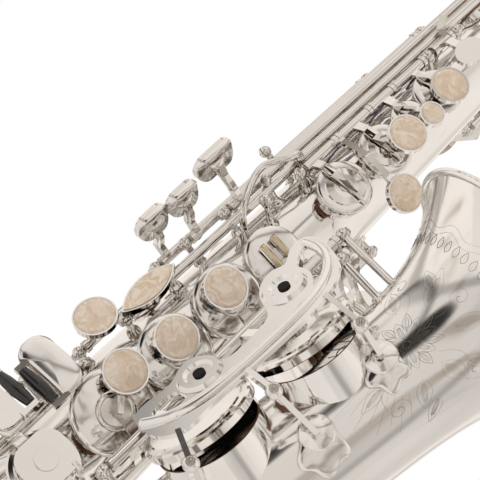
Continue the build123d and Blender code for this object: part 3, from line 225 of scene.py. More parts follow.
MATERIALS = {
    "silver_body": metal("silver_body", dark=(0.92, 0.912, 0.90), light=(0.975, 0.97, 0.96),
                         rough=(0.05, 0.13), wave=0.9),
    "silver_keys": metal("silver_keys", dark=(0.91, 0.90, 0.885), light=(0.97, 0.963, 0.95),
                         rough=(0.05, 0.12), wave=0.5, painted_reflection=0.85),
    "silver_posts": metal("silver_posts", dark=(0.86, 0.845, 0.83), light=(0.95, 0.94, 0.92),
                          rough=(0.06, 0.16), wave=0.4, painted_reflection=0.9),
    "pivot_steel": metal("pivot_steel", dark=(0.76, 0.75, 0.74), light=(0.90, 0.90, 0.90),
                         rough=(0.10, 0.20), wave=0.2, painted_reflection=0.8),
    "silver_flat": metal("silver_flat", dark=(0.90, 0.89, 0.875), light=(0.96, 0.952, 0.94),
                         rough=(0.07, 0.15), wave=0.3, painted_reflection=0.12),
    "engraving": metal("engraving", dark=(0.22, 0.20, 0.18), light=(0.42, 0.39, 0.36),
                       rough=(0.30, 0.48)),
    "bar_warm": metal("bar_warm", dark=(0.62, 0.50, 0.33), light=(0.78, 0.68, 0.50),
                      rough=(0.14, 0.26)),
    "screw_dark": metal("screw_dark", dark=(0.16, 0.145, 0.13), light=(0.30, 0.27, 0.25),
                        rough=(0.12, 0.25)),
    "blued_spring": metal("blued_spring", dark=(0.06, 0.075, 0.13), light=(0.16, 0.18, 0.26),
                          rough=(0.12, 0.28), wave=0.2),
    "pearl": pearl("pearl"),
    "leather": grained("pad_leather", dark=(0.22, 0.095, 0.04), light=(0.42, 0.21, 0.10),
                       scale=900.0, rough=(0.5, 0.75), relief=(0.5, 0.0004)),
    "black_felt": grained("black_felt", dark=(0.008, 0.008, 0.008), light=(0.04, 0.038, 0.036),
                          scale=2600.0, rough=(0.85, 1.0), relief=(0.9, 0.0006), specular=0.2),
    "black_roller": grained("black_roller", dark=(0.006, 0.006, 0.006),
                            light=(0.02, 0.019, 0.018), scale=700.0, rough=(0.12, 0.30),
                            relief=(0.2, 0.0002), coat=0.4),
    "black_resin": grained("black_resin", dark=(0.006, 0.006, 0.007), light=(0.018, 0.018, 0.02),
                           scale=500.0, rough=(0.08, 0.22), relief=(0.15, 0.0002), coat=0.5),
    "cork": grained("cork", dark=(0.30, 0.17, 0.08), light=(0.66, 0.46, 0.27),
                    scale=1100.0, rough=(0.7, 0.95), relief=(0.9, 0.0006), specular=0.3),
    "cane": grained("cane", dark=(0.55, 0.42, 0.19), light=(0.80, 0.69, 0.42),
                    scale=900.0, rough=(0.4, 0.65), relief=(0.6, 0.0003), specular=0.4,
                    stretch=(1.0, 0.06, 1.0)),
}


def islands(mesh):
    """label each polygon with its loose body; vertices split along sharp edges count as one"""
    joined, parent = {}, []
    point_of = []
    for vertex in mesh.vertices:
        key = tuple(round(value * 2e5) for value in vertex.co)
        if key not in joined:
            joined[key] = len(parent)
            parent.append(len(parent))
        point_of.append(joined[key])

    def find(point):
        while parent[point] != point:
            parent[point] = parent[parent[point]]
            point = parent[point]
        return point

    for polygon in mesh.polygons:
        points = [point_of[i] for i in polygon.vertices]
        root = find(points[0])
        for point in points[1:]:
            other = find(point)
            if other != root:
                parent[other] = root
    return [find(point_of[polygon.vertices[0]]) for polygon in mesh.polygons]


def leather_pads(mesh):
    """every body of a key but the largest is its pad"""
    labels = islands(mesh)
    areas = {}
    for polygon, label in zip(mesh.polygons, labels):
        areas[label] = areas.get(label, 0.0) + polygon.area
    if len(areas) > 1:
        largest = max(areas, key=areas.get)
        mesh.materials.append(MATERIALS["leather"])
        for polygon, label in zip(mesh.polygons, labels):
            if label != largest:
                polygon.material_index = 1


slot_names = {part["node"]: part["material_slot"] for part in frame["record"]["subparts"]}
for loaded in list(bpy.data.objects):
    if loaded.type == "MESH" and loaded.name in slot_names:
        loaded.data.materials.clear()
        loaded.data.materials.append(MATERIALS[slot_names[loaded.name]])
        if loaded.name.startswith("key_"):
            leather_pads(loaded.data)


# ------------------------------------------------------------------ places on tube and bell
def to_scene(point):
    return (point - STRAP_RING) * 0.001


def tube_r(z):
    return TUBE_FOOT_R + (TUBE_TOP_R - TUBE_FOOT_R) * z / TUBE_LENGTH


def radial(phi):
    """outward from the tube; phi in degrees, 0 at -y and turning towards -x"""
    a = math.radians(phi)
    return Vector((-math.sin(a), -math.cos(a), 0))


def tangent(phi):
    a = math.radians(phi)
    return Vector((-math.cos(a), math.sin(a), 0))


def polar(phi, r, z):
    return radial(phi) * r + Vector((0, 0, z))


def bell_radial(psi):
    """outward from the bell; psi in degrees, 0 away from the tube and turning towards -x"""
    a = math.radians(psi)
    return BELL_SIDE * math.sin(a) + BELL_AWAY * math.cos(a)


def bell_tangent(psi):
    a = math.radians(psi)
    return BELL_SIDE * math.cos(a) - BELL_AWAY * math.sin(a)


def bell_r(along):
    return (BELL_THROAT_R + (BELL_FOOT_R - BELL_THROAT_R) * 2.718 ** (-along / 12.0)
            + (BELL_RIM_R - BELL_THROAT_R) * (along / BELL_LENGTH) ** 9.5)


def on_bell(psi, along, off=0.0):
    """point `off` above the bell's surface, and the surface normal there"""
    half = 0.5
    slope = (bell_r(along + half) - bell_r(along - half)) / (2 * half)
    normal = (bell_radial(psi) - BELL_AXIS * slope).normalized()
    foot = BELL_FOOT + BELL_AXIS * along + bell_radial(psi) * bell_r(along)
    return foot + normal * off, normal


def turn_about(start, end, degrees):
    """the turn of a key about its hinge line"""
    matrix = (Matrix.Translation(start)
              @ Matrix.Rotation(math.radians(degrees), 4, (end - start).normalized())
              @ Matrix.Translation(-start))
    return lambda point: matrix @ point


class Seat:
    """frame on top of a tone hole, turned with its key"""
    def __init__(self, turn, phi, z):
        def point(around, out):
            return turn(radial(phi) * (tube_r(z) + CHIMNEY + out) + tangent(phi) * around
                        + Vector((0, 0, z)))
        self.origin = point(0, 0)
        self.out = (point(0, 1) - self.origin).normalized()
        self.around = (point(1, 0) - self.origin).normalized()
        self.down = self.out.cross(self.around)       # towards the bow

    def at(self, around, down, out):
        return self.origin + self.around * around + self.down * down + self.out * out


# ------------------------------------------------------------------ solids
def flatten(vector, axis):
    """the unit part of a vector square to an axis"""
    return (vector - axis * vector.dot(axis)).normalized()


def square_to(axis):
    return flatten(Z_AXIS if abs(axis.z) < 0.9 else X_AXIS, axis)


def heading(points, i):
    return (points[min(i + 1, len(points) - 1)] - points[max(i - 1, 0)]).normalized()


def strips(rings, size, first=0):
    """quads between successive rings of `size` points"""
    faces = []
    for ring in range(rings - 1):
        low = first + ring * size
        high = low + size
        for i in range(size):
            j = (i + 1) % size
            faces.append((low + i, low + j, high + j, high + i))
    return faces


def caps(rings, size):
    return [tuple(reversed(range(size))), tuple((rings - 1) * size + i for i in range(size))]


class Solids:
    """closed solids gathered into one mesh; slot is an index into its materials"""
    def __init__(self):
        self.points, self.faces, self.smooth, self.slots = [], [], [], []

    def put(self, points, faces, smooth, slot=0):
        """smooth is one flag for all faces, or a list with one per face"""
        first = len(self.points)
        self.points += [tuple(to_scene(point)) for point in points]
        self.faces += [tuple(i + first for i in face) for face in faces]
        self.smooth += [smooth] * len(faces) if isinstance(smooth, bool) else smooth
        self.slots += [slot] * len(faces)

    def lathe(self, profile, centre, axis, segments=40, slot=0):
        """solid of revolution; profile is (radius, height), starting and ending on the axis"""
        axis = axis.normalized()
        x = square_to(axis)
        y = axis.cross(x)
        points = [centre + axis * profile[0][1]]
        for r, height in profile[1:-1]:
            for i in range(segments):
                a = 2 * math.pi * i / segments
                points.append(centre + axis * height + (x * math.cos(a) + y * math.sin(a)) * r)
        points.append(centre + axis * profile[-1][1])
        rings = len(profile) - 2
        top = len(points) - 1
        last = top - segments
        after = [(i + 1) % segments for i in range(segments)]
        faces = [(0, 1 + j, 1 + i) for i, j in enumerate(after)]
        faces += strips(rings, segments, 1)
        faces += [(last + i, last + j, top) for i, j in enumerate(after)]
        self.put(points, faces, True, slot)

    def tube(self, path, radii, segments, slot=0, flat=1.0, up=None):
        """rod swept along a path, one radius or one per point; flat squeezes it along up"""
        if not isinstance(radii, list):
            radii = [radii] * len(path)
        points = []
        x = None
        for i, (centre, r) in enumerate(zip(path, radii)):
            ahead = heading(path, i)
            if up is not None:
                y = flatten(up, ahead)
                x = y.cross(ahead)
            else:
                x = square_to(ahead) if x is None else flatten(x, ahead)
                y = ahead.cross(x)
            for k in range(segments):
                a = 2 * math.pi * k / segments
                points.append(centre + x * (math.cos(a) * r) + y * (math.sin(a) * r * flat))
        sides = strips(len(path), segments)
        self.put(points, sides + caps(len(path), segments),
                 [True] * len(sides) + [False, False], slot)

    def plate(self, outline, place, bottom, slot=0, dome=0.0, rings=5, lip=0.35):
        """rounded, domed plate; place(u, v, height) sets its outline's points in space"""
        size = len(outline)
        mid_u = sum(u for u, v in outline) / size
        mid_v = sum(v for u, v in outline) / size
        levels = [(0.97, bottom), (1.0, bottom + lip * 0.5), (1.0, -lip), (0.97, -lip * 0.3)]
        for i in range(1, rings):
            k = 0.94 * (1 - i / rings) + 0.02
            levels.append((k, dome * (1 - k * k)))
        points = [place(mid_u + (u - mid_u) * k, mid_v + (v - mid_v) * k, height)
                  for k, height in levels for u, v in outline]
        top = len(points)
        points += [place(mid_u, mid_v, dome), place(mid_u, mid_v, bottom)]
        last = top - size
        after = [(i + 1) % size for i in range(size)]
        faces = strips(len(levels), size)
        faces += [(last + i, last + j, top) for i, j in enumerate(after)]
        faces += [(j, i, top + 1) for i, j in enumerate(after)]
        self.put(points, faces, True, slot)

    def blade(self, path, half_widths, heights, up, slot):
        """keeled strip of six-sided section"""
        points = []
        for i, (centre, w, h) in enumerate(zip(path, half_widths, heights)):
            ahead = heading(path, i)
            y = flatten(up, ahead)
            x = y.cross(ahead)
            points += [centre - x * w, centre - x * w * 0.9 + y * h * 0.35, centre + y * h,
                       centre + x * w * 0.9 + y * h * 0.35, centre + x * w, centre - y * h * 0.3]
        self.put(points, strips(len(path), 6) + caps(len(path), 6), False, slot)

    def screw(self, seat, axis, r, height, turn=0.6):
        """slotted cheese head: two half heads on a disc; turn is the slot's angle"""
        axis = axis.normalized()
        self.lathe([(0, -0.6), (r, -0.6), (r, height * 0.45), (0, height * 0.45)],
                   seat, axis, 28, STEEL)
        x = square_to(axis)
        y = axis.cross(x)
        slot_half = math.asin(0.17)
        for side in (-1, 1):
            arc = []
            for i in range(13):
                a = turn + (slot_half + (math.pi - 2 * slot_half) * i / 12.0) * side
                arc.append((r * math.sin(a), r * math.cos(a)))
            size = len(arc)
            mid_x = sum(p[0] for p in arc) / size
            mid_y = sum(p[1] for p in arc) / size
            points = [seat + axis * level + x * (mid_x + (px - mid_x) * k)
                      + y * (mid_y + (py - mid_y) * k)
                      for level, k in ((height * 0.4, 1.0), (height * 0.86, 1.0), (height, 0.9))
                      for px, py in arc]
            self.put(points, caps(3, size) + strips(3, size), False, STEEL)

    def ball_post(self, ball, base, r=3.0):
        """turned post with a flanged foot and a ball centred on its end"""
        axis = (ball - base).normalized()
        height = (ball - base).length
        neck = height - r
        profile = [(0, -1.2), (3.9, -1.2), (3.9, 0.4), (3.1, 1.0), (2.0, 1.9), (1.5, 3.4),
                   (1.35, max(3.8, neck - 1.2)), (1.9, max(4.0, neck - 0.5)),
                   (1.5, max(4.2, neck + 0.1))]
        for i in range(10):
            a = 0.6 + (math.pi - 0.6) * i / 10.0
            profile.append((r * math.sin(a), height - r * math.cos(a)))
        self.lathe(profile + [(0, height + r)], base, axis, 28)

    def build(self, name, materials, body, slot):
        mesh = bpy.data.meshes.new(name)
        mesh.from_pydata(self.points, [], self.faces)
        for material in materials:
            mesh.materials.append(MATERIALS[material])
        for polygon, smooth, index in zip(mesh.polygons, self.smooth, self.slots):
            polygon.use_smooth = smooth
            polygon.material_index = index
        mesh.validate()
        mesh.update()
        work = bmesh.new()
        work.from_mesh(mesh)
        bmesh.ops.recalc_face_normals(work, faces=work.faces)
        work.to_mesh(mesh)
        work.free()
        made = bpy.data.objects.new(name, mesh)
        bpy.context.scene.collection.objects.link(made)
        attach(made, body)


# Material sets, and what their later slots hold
KEY_SET = ("silver_keys", "black_felt", "pivot_steel")
FLAT_SET = ("silver_flat", "black_felt", "pivot_steel")
FELT, STEEL = 1, 2

# ------------------------------------------------------------------ engraving on the bell
# Drawn in millimetres (round the bell, along the bell) from its centre
ENGRAVING_PSI, ENGRAVING_ALONG = 57.0, 180.0
ENGRAVING_R = 40.0                  # turns distance round the bell into angle
STROKE_STEP = 0.8
engraving = Solids()


def cut(points, size=0.42):
    """a line as a row of small four-sided strokes"""
    for (u0, v0), (u1, v1) in zip(points, points[1:]):
        length = math.hypot(u1 - u0, v1 - v0)
        count = max(1, int(length / STROKE_STEP))
        for i in range(count):
            t = i / count
            psi = ENGRAVING_PSI + math.degrees((u0 + (u1 - u0) * t) / ENGRAVING_R)
            p, normal = on_bell(psi, ENGRAVING_ALONG + v0 + (v1 - v0) * t)
            ahead = flatten(bell_tangent(psi) * ((u1 - u0) / length)
                            + BELL_AXIS * ((v1 - v0) / length), normal)
            across = normal.cross(ahead) * (size * 0.75)
            ahead = ahead * (size * 1.35)
            base = p - normal * 0.3
            engraving.put([base + ahead, base + across, base - ahead, base - across,
                           p + normal * 0.26],
                          [(3, 2, 1, 0), (0, 1, 4), (1, 2, 4), (2, 3, 4), (3, 0, 4)], False)


def curve(function, steps=18):
    return [function(i / steps) for i in range(steps + 1)]


def petal(u, v, angle, length, half_width, veins=2):
    cosine, sine = math.cos(angle), math.sin(angle)

    def place(x, y):
        return (u + cosine * x - sine * y, v + sine * x + cosine * y)

    for side in (-1, 1):
        cut(curve(lambda t: place(length * t, side * half_width * math.sin(math.pi * t ** 0.8)
                                  * (1 - 0.15 * t))))
    for vein in range(veins):
        spread = 0.35 * (vein + 1) / veins
        for side in (-1, 1):
            cut(curve(lambda t: place(length * (0.12 + 0.62 * t), side * half_width * spread
                                      * math.sin(math.pi * (0.15 + 0.7 * t)))), size=0.3)
    cut([place(length * 0.08, 0), place(length * 0.86, 0)], size=0.34)


def scroll(u, v, angle, r, turns, hand):
    def place(t):
        a = angle + hand * turns * 2 * math.pi * t
        now = r * (1 - t) ** 0.8 + 0.25
        return (u + now * math.cos(a), v + now * math.sin(a))
    cut(curve(place, 40))


def stem(u0, v0, u1, v1, bow):
    """arched line that stands off its chord by bow"""
    normal_u, normal_v = -(v1 - v0), (u1 - u0)
    length = math.hypot(normal_u, normal_v)

    def place(t):
        off = bow * math.sin(math.pi * t)
        return (u0 + (u1 - u0) * t + normal_u / length * off,
                v0 + (v1 - v0) * t + normal_v / length * off)
    cut(curve(place, 20))


# u, v, angle in radians, length, half width
LEAVES = [
    (18, 6, 0.35, 17, 4.2), (19, -5, -0.35, 15, 3.6), (-18, 6, 2.8, 16, 4.0),
    (-19, -4, 3.5, 15, 3.6), (9, 16, 1.15, 17, 4.0), (-8, 17, 1.95, 16, 3.8),
    (12, 22, 0.4, 12, 3.0), (-24, 14, 2.3, 13, 3.2), (10, -17, -1.2, 14, 3.4),
    (-9, -18, -1.9, 14, 3.4), (30, -8, -0.9, 13, 3.0), (-31, -2, -2.4, 13, 3.0)]
# u, v, start angle in radians, radius, turns, hand
SCROLLS = [
    (30, 16, 3.4, 5.5, 1.4, 1), (-31, 15, 0.0, 5.0, 1.4, -1), (36, 3, 2.4, 4.6, 1.3, -1),
    (24, -18, 1.2, 5.0, 1.4, 1), (-24, -18, 2.0, 5.0, 1.4, -1), (0, 27, 4.7, 4.4, 1.3, 1)]
# start u, v, end u, v, bow
STEMS = [(13, 8, 30, 12, 5), (-13, 8, -30, 12, -5), (6, -12, 22, -22, -4),
         (-6, -12, -22, -22, 4), (3, 12, 1, 24, 2)]

# The flower: two rings of petals (start radius, shift in petals, length, half width, veins)
for start, shift, length, half_width, veins in ((2.0, 0, 11.5, 3.0, 2), (7.0, 0.5, 9.0, 2.2, 1)):
    for i in range(8):
        a = 2 * math.pi * (i + shift) / 8 + 0.2
        petal(start * math.cos(a), start * math.sin(a), a, length, half_width, veins)
cut(curve(lambda t: (1.7 * math.cos(2 * math.pi * t), 1.7 * math.sin(2 * math.pi * t)), 20))
for leaf in LEAVES:
    petal(*leaf)
for entry in SCROLLS:
    scroll(*entry)
for entry in STEMS:
    stem(*entry)
# Fan of rays towards the bow, every second one longer
for i in range(17):
    a = math.radians(-158 + 136 * i / 16.0)
    cut([(r * math.cos(a) * 1.1, r * math.sin(a) - 4)
         for r in (20.0, 33.0 + (4.0 if i % 2 else 0.0))], size=0.34)
# Border below the rim: two wavy lines over a row of small petals
for v in (41.5, 44.0):
    cut([(x * 0.5, v + 1.2 * math.sin(x * 0.5 * 0.35)) for x in range(-110, 111)], size=0.32)
for k in range(-11, 12):
    petal(k * 5.0, 36.0, math.pi / 2, 4.6, 1.5, 0)
engraving.build("bell_engraving", ["engraving"], "body", "silver_body")

# ------------------------------------------------------------------ key cups
RIGHT_TURN = turn_about(radial(39) * 29 + tangent(39) * -23 + Vector((0, 0, 66)),
                        radial(39) * 26 + tangent(39) * -23 + Vector((0, 0, 210)), 8)
LEFT_TURN = turn_about(polar(76, 31.0, 233), polar(76, 28.2, 349), -6)
# angle round the tube, height, cup radius
RIGHT_CUPS = {"d": (39, 87.6, 18.8), "e": (39, 125.6, 16.4), "f": (39, 160.0, 16.2),
              "f_sharp": (39, 190.6, 13.4)}
# angle, height, cup radius, top of the dome, reach of the arm
LEFT_CUPS = {"g": (37, 241.0, 12.8, 5.28, 1.35), "a": (36, 270.6, 12.4, 5.26, 1.05),
             "bis": (42, 292.4, 8.8, 5.24, 1.0), "b": (42, 313.6, 11.6, 5.26, 0.9)}


def domed_cap(turn, phi, z, r, top):
    """polished cap over a cup: one smooth dish with a rolled edge"""
    solids = Solids()
    seat = Seat(turn, phi, z)
    profile = [(0, 3.0), (r - 1.6, 3.0), (r - 0.9, 3.2), (r + 0.35, 3.4), (r + 0.62, 3.9),
               (r + 0.45, 4.55), (r - 0.1, 4.95)]
    for i in range(1, 9):
        f = 1 - i / 9.0
        profile.append(((r - 0.4) * f, 5.05 + (top - 5.05) * (1 - f * f) ** 0.9))
    solids.lathe(profile + [(0, top)], seat.origin, seat.out, 64)
    return solids, seat


def left_cup(name, phi, z, r, top, reach):
    """near-flat dish crossed by a pointed arm"""
    solids, seat = domed_cap(LEFT_TURN, phi, z, r, top)
    arm_slot = 3
    arm = 7.7                       # height of the arm over the seat
    path = [seat.at(r * 1.02, 0, arm - 1.6), seat.at(r * 0.6, 0, arm - 0.55),
            seat.at(r * 0.15, 0, arm - 0.25), seat.at(-r * 0.35 * reach, 0, arm - 0.45),
            seat.at(-r * 0.8 * reach, 0, arm - 1.2)]
    solids.blade(path, [2.6, 2.9, 2.2, 1.2, 0.06], [0.9, 1.3, 1.3, 0.9, 0.1], seat.out, arm_slot)
    if name == "g":
        for side in (-1, 1):
            solids.tube([seat.at(r, side * 1.6, 6.6), seat.at(r * 0.3, side * 1.5, 7.6),
                         seat.at(-r * 0.5, side * 0.9, 7.3)], [0.8, 0.75, 0.3], 8, arm_slot)
    solids.build("cup_cap_" + name, (*FLAT_SET, "silver_keys"), "key_" + name, "silver_keys")


def right_cup(name, screw_down, side):
    """deep rolled dish with a boss, a screw and a bracket holding a felt"""
    phi, z, r = RIGHT_CUPS[name]
    top = 6.9
    solids, seat = domed_cap(RIGHT_TURN, phi, z, r, top)
    solids.lathe([(0, 6.0), (r * 0.44, 6.0), (r * 0.47, top + 0.1), (r * 0.42, top + 0.55),
                  (r * 0.34, top + 0.35), (0, top + 0.5)], seat.origin, seat.out, 48)
    solids.screw(seat.at(-r + 5.5, screw_down, 10.3), seat.out, 2.0, 0.9)

    def bracket(around, out):
        return seat.at(r * 0.30 + around, side * r * 0.42, top + 0.3 + out)

    solids.tube([bracket(-4.4, 0), bracket(-4.4, 2.4), bracket(-3.4, 3.2),
                 bracket(3.4, 3.2), bracket(4.4, 2.4), bracket(4.4, 0)], 0.95, 10)
    solids.lathe([(0, 0), (1.9, 0), (1.9, 2.0), (0, 2.0)], bracket(0, 0.6), seat.out, 20, FELT)
    solids.screw(bracket(0, 4.1), seat.out, 1.5, 0.8, 0.2)
    solids.build("cup_cap_" + name, KEY_SET, "key_" + name, "silver_keys")


def d_cup_felt():
    """square black felt at the edge of the D cup"""
    phi, z, _ = RIGHT_CUPS["d"]
    seat = Seat(RIGHT_TURN, phi, z)
    half = 3.3
    solids = Solids()
    solids.plate([(-half, -half), (half, -half), (half, half), (-half, half)],
                 lambda u, v, height: seat.at(u - 9.6, v - 11.5, 6.3 + height + 2.2),
                 bottom=-2.4, slot=FELT, dome=0.1, rings=3, lip=0.25)
    solids.build("d_cup_felt", KEY_SET, "key_d", "silver_keys")


def f_sharp_cup():
    """cap with a pair of bars and two dark screws"""
    solids, seat = domed_cap(RIGHT_TURN, *RIGHT_CUPS["f_sharp"], top=6.8)
    bar_slot, dark_slot = 3, 4
    for side in (-1, 1):
        path = [seat.at(around, side * 3.4, out)
                for around, out in ((-8.4, 9.1), (-7.4, 9.7), (6.4, 9.7), (7.4, 9.1))]
        solids.tube(path, [1.55, 1.6, 1.6, 1.5], 12, bar_slot, flat=0.55, up=seat.out)
        solids.lathe([(0, -0.5), (1.5, -0.5), (2.5, 0.6), (2.6, 1.5), (2.0, 2.5), (1.1, 2.9),
                      (0, 3.0)], seat.at(-9.2, side * 2.8, 9.6), seat.out, 24, dark_slot)
    solids.build("cup_cap_f_sharp", (*FLAT_SET, "bar_warm", "screw_dark"),
                 "key_f_sharp", "silver_keys")


for name, cup in LEFT_CUPS.items():
    left_cup(name, *cup)
for name, screw_down, side in (("d", 7, -1), ("e", -8, 1), ("f", -8, 1)):
    right_cup(name, screw_down, side)
d_cup_felt()
f_sharp_cup()


# ------------------------------------------------------------------ touches
def rounded(width, height, r):
    """rectangle with seven points to each round corner"""
    x, y = width / 2 - r, height / 2 - r
    points = []
    for mid_x, mid_y, start in ((x, y, 0), (-x, y, 90), (-x, -y, 180), (x, -y, 270)):
        for i in range(7):
            a = math.radians(start + 90.0 * i / 6)
            points.append((mid_x + r * math.cos(a), mid_y + r * math.sin(a)))
    return points


def side_paddle(name, rod_phi, rod_foot, phi, r, z, half_length):
    """curved paddle on a flared crank from its rod"""
    centre = polar(phi, r, z)
    face = (radial(phi) * 0.55 + tangent(phi) * 0.83).normalized()
    across = face.cross(Z_AXIS).normalized()
    solids = Solids()
    solids.plate(rounded(2 * half_length + 1.4, 13.6, 5.6),
                 lambda u, v, height: centre + Z_AXIS * u + across * v
                 + face * (2.7 + height - 0.0495 * v * v + 0.006 * u * u),
                 bottom=-3.5, dome=0.9, rings=6, lip=0.6)
    crank_z = max(z, rod_foot + 8)
    rod_r = 35 - 5 * (rod_foot - 160) / 230.0
    root = polar(rod_phi - 3, rod_r + 7, crank_z)
    elbow = polar(rod_phi * 0.3 + phi * 0.7, r - 9, (crank_z + z) / 2)
    solids.tube([root, root * 0.6 + elbow * 0.4, elbow, elbow * 0.45 + centre * 0.55, centre],
                [2.0, 1.9, 2.4, 3.4, 5.0], 16, flat=0.62, up=face)
    solids.build("paddle_" + name, ["silver_flat"], "key_" + name, "silver_keys")


def touch_petal(name, z, roller_side, back_scale, lift, dome):
    """domed petal for the little finger, cut back along the edge where the roller runs"""
    centre = polar(75.0, 52.6, z)
    out, across = radial(48), tangent(48)
    outline = []
    for i in range(72):
        a = 2 * math.pi * i / 72
        x, y = math.cos(a), math.sin(a)
        u = 14.7 * math.copysign(abs(x) ** 0.62, x)
        if u < 0:
            u *= back_scale
        v = 8.3 * math.copysign(abs(y) ** 0.72, y) * (1.0 - 0.03 * x)
        reach = abs(u + 3.0)        # from the middle of the roller
        if v * roller_side > 0 and reach < 13.6:
            v = roller_side * min(abs(v), 5.6 + max(0.0, reach - 12.4) * 1.6)
        outline.append((u, v))
    solids = Solids()
    solids.plate(outline, lambda u, v, height: centre + across * u + Z_AXIS * v
                 + out * (lift + height), bottom=-1.9, dome=dome, rings=7, lip=0.5)
    solids.build("touch_petal_" + name, ["silver_flat"], "key_" + name, "silver_keys")


# name, rod's angle and lower end, paddle's angle, radius, height and half length
for paddle in (("side_e", 101, 196, 98.0, 58.0, 205.5, 11.0),
               ("side_c", 112, 174, 96.0, 55.5, 181.0, 8.6),
               ("side_b_flat", 123, 158, 98.0, 56.0, 163.2, 8.4)):
    side_paddle(*paddle)
touch_petal("e_flat", z=80.4, roller_side=-1, back_scale=1.0, lift=1.75, dome=0.85)
touch_petal("low_c", z=53.0, roller_side=1, back_scale=0.76, lift=1.35, dome=0.5)


# ------------------------------------------------------------------ bell key guard
def guard_foot(solids, ball, along, psi, reach):
    """scalloped fan and collar laid on the bell, with a slotted ball screw in the leg's bend;
    ball is (x, distance along the bell, distance away from the tube)"""
    fan = []
    for i in range(96):
        degrees = 360.0 * i / 96
        off = (degrees - 200.0 + 180.0) % 360.0 - 180.0      # from the fan's middle
        spread = math.exp(-(abs(off) / 66.0) ** 4)
        r = 6.4 + spread * (reach * 0.86 + 1.35 * math.cos(math.radians(off * 360.0 / 47.0))
                            - 0.02 * abs(off))
        fan.append((r * math.cos(math.radians(degrees)), r * math.sin(math.radians(degrees))))

    def lay(u, v, height):
        return on_bell(psi + math.degrees(u / bell_r(along + v)), along + v, 1.2 + height)[0]

    solids.plate(fan, lay, bottom=-1.6, dome=0.7, rings=8)
    collar, normal = on_bell(psi, along, 1.5)
    solids.lathe([(0, -1.0), (7.3, -1.0), (7.3, 0.0), (6.6, 0.55), (5.4, 0.75), (4.6, 1.4),
                  (0, 1.6)], collar, normal)
    ball_x, ball_along, ball_away = ball
    centre = BELL_FOOT + BELL_AXIS * ball_along + BELL_AWAY * ball_away
    centre.x = ball_x
    facing_out = (BELL_SIDE * 0.75 + BELL_AWAY * 0.65).normalized()
    r = 3.4
    sphere = [(r * math.sin(math.pi * i / 14.0), -r * math.cos(math.pi * i / 14.0))
              for i in range(1, 14)]
    solids.lathe([(0, -r)] + sphere + [(0, r)], centre, facing_out, 28)
    solids.screw(centre + facing_out * 3.1, facing_out, 1.9, 1.1, 0.9)


guard = Solids()
guard_foot(guard, ball=(-52.0, 124, 23.0), along=131, psi=48.0, reach=11.5)
guard_foot(guard, ball=(-48.0, 166.5, 18.0), along=169.0, psi=62.0, reach=8.5)
guard_foot(guard, ball=(-50.0, 84.0, 24.0), along=80.0, psi=52.0, reach=9.5)
guard.build("guard_feet", FLAT_SET, "body", "silver_posts")

# ------------------------------------------------------------------ posts, springs, pivot screws
ROD_END = (84, 35.5, 238.0)
# angle, radius and height of the points of the bent rod among the side keys
BENT_ROD = [
    (74.5, tube_r(193.5), 193.5), (74.5, 34.0, 193.6), (76, 39.6, 196.5), (81, 42.6, 205.0),
    (86, 43.6, 214.0), (87, 43.6, 221.0), (83, 42.6, 227.0), (79, 41.2, 232.0),
    (80, 38.6, 237.0), ROD_END]
# angle and radius at the thick end, its height, length
NEEDLES = [
    (3.0, 30.0, 72.0, 26), (2.0, 29.6, 104.0, 26), (1.0, 29.0, 136.0, 25),
    (0.0, 28.6, 168.0, 22), (70.0, 27.0, 246.0, 22), (70.0, 26.4, 278.0, 20),
    (70.0, 25.6, 306.0, 20), (106.0, 31.5, 200.0, 24), (118.0, 31.5, 182.0, 24),
    (106.0, 29.5, 330.0, 24), (95.0, 33.0, 118.0, 24)]


def smooth_path(knots, steps=6):
    """Catmull-Rom curve through the knots"""
    path = []
    last = len(knots) - 1
    for i in range(last):
        p0, p1, p2, p3 = knots[max(i - 1, 0)], knots[i], knots[i + 1], knots[min(i + 2, last)]
        for j in range(steps):
            t = j / steps
            path.append(0.5 * ((2 * p1) + (p2 - p0) * t + (2 * p0 - 5 * p1 + 4 * p2 - p3) * t * t
                               + (3 * p1 - p0 - 3 * p2 + p3) * t ** 3))
    return path + [knots[-1]]


def side_posts():
    solids = Solids()
    # centre of the ball, angle of the foot on the tube
    for ball, phi in ((Vector((-36.0, 0.1, 219.1)), 90), (Vector((-37.4, -14.1, 206.4)), 69.3),
                      (Vector((-33.8, 21.2, 238.1)), 122), (polar(*ROD_END), ROD_END[0])):
        solids.ball_post(ball, polar(phi, tube_r(ball.z), ball.z))
        axis = (radial(phi) * 0.5 + tangent(phi) * -0.6 + Z_AXIS * -0.6).normalized()
        solids.screw(ball + axis * 2.7, axis, 1.5, 0.9, 0.5)
    solids.tube(smooth_path([polar(*knot) for knot in BENT_ROD]), 1.7, 14)
    solids.build("side_posts", KEY_SET, "body", "silver_posts")


def needle_springs():
    solids = Solids()
    for phi, r, z, length in NEEDLES:
        start, end = polar(phi, r, z), polar(phi + 3.0, r + 1.6, z + length)
        out = radial(phi)
        middle = (start + end) * 0.5 + out * 0.7
        solids.tube([start, (start + middle) * 0.5 + out * 0.3, middle,
                     (middle + end) * 0.5 + out * 0.1, end], [0.55, 0.5, 0.42, 0.34, 0.25], 8)
    solids.build("needle_springs", ["blued_spring"], "body", "pivot_steel")


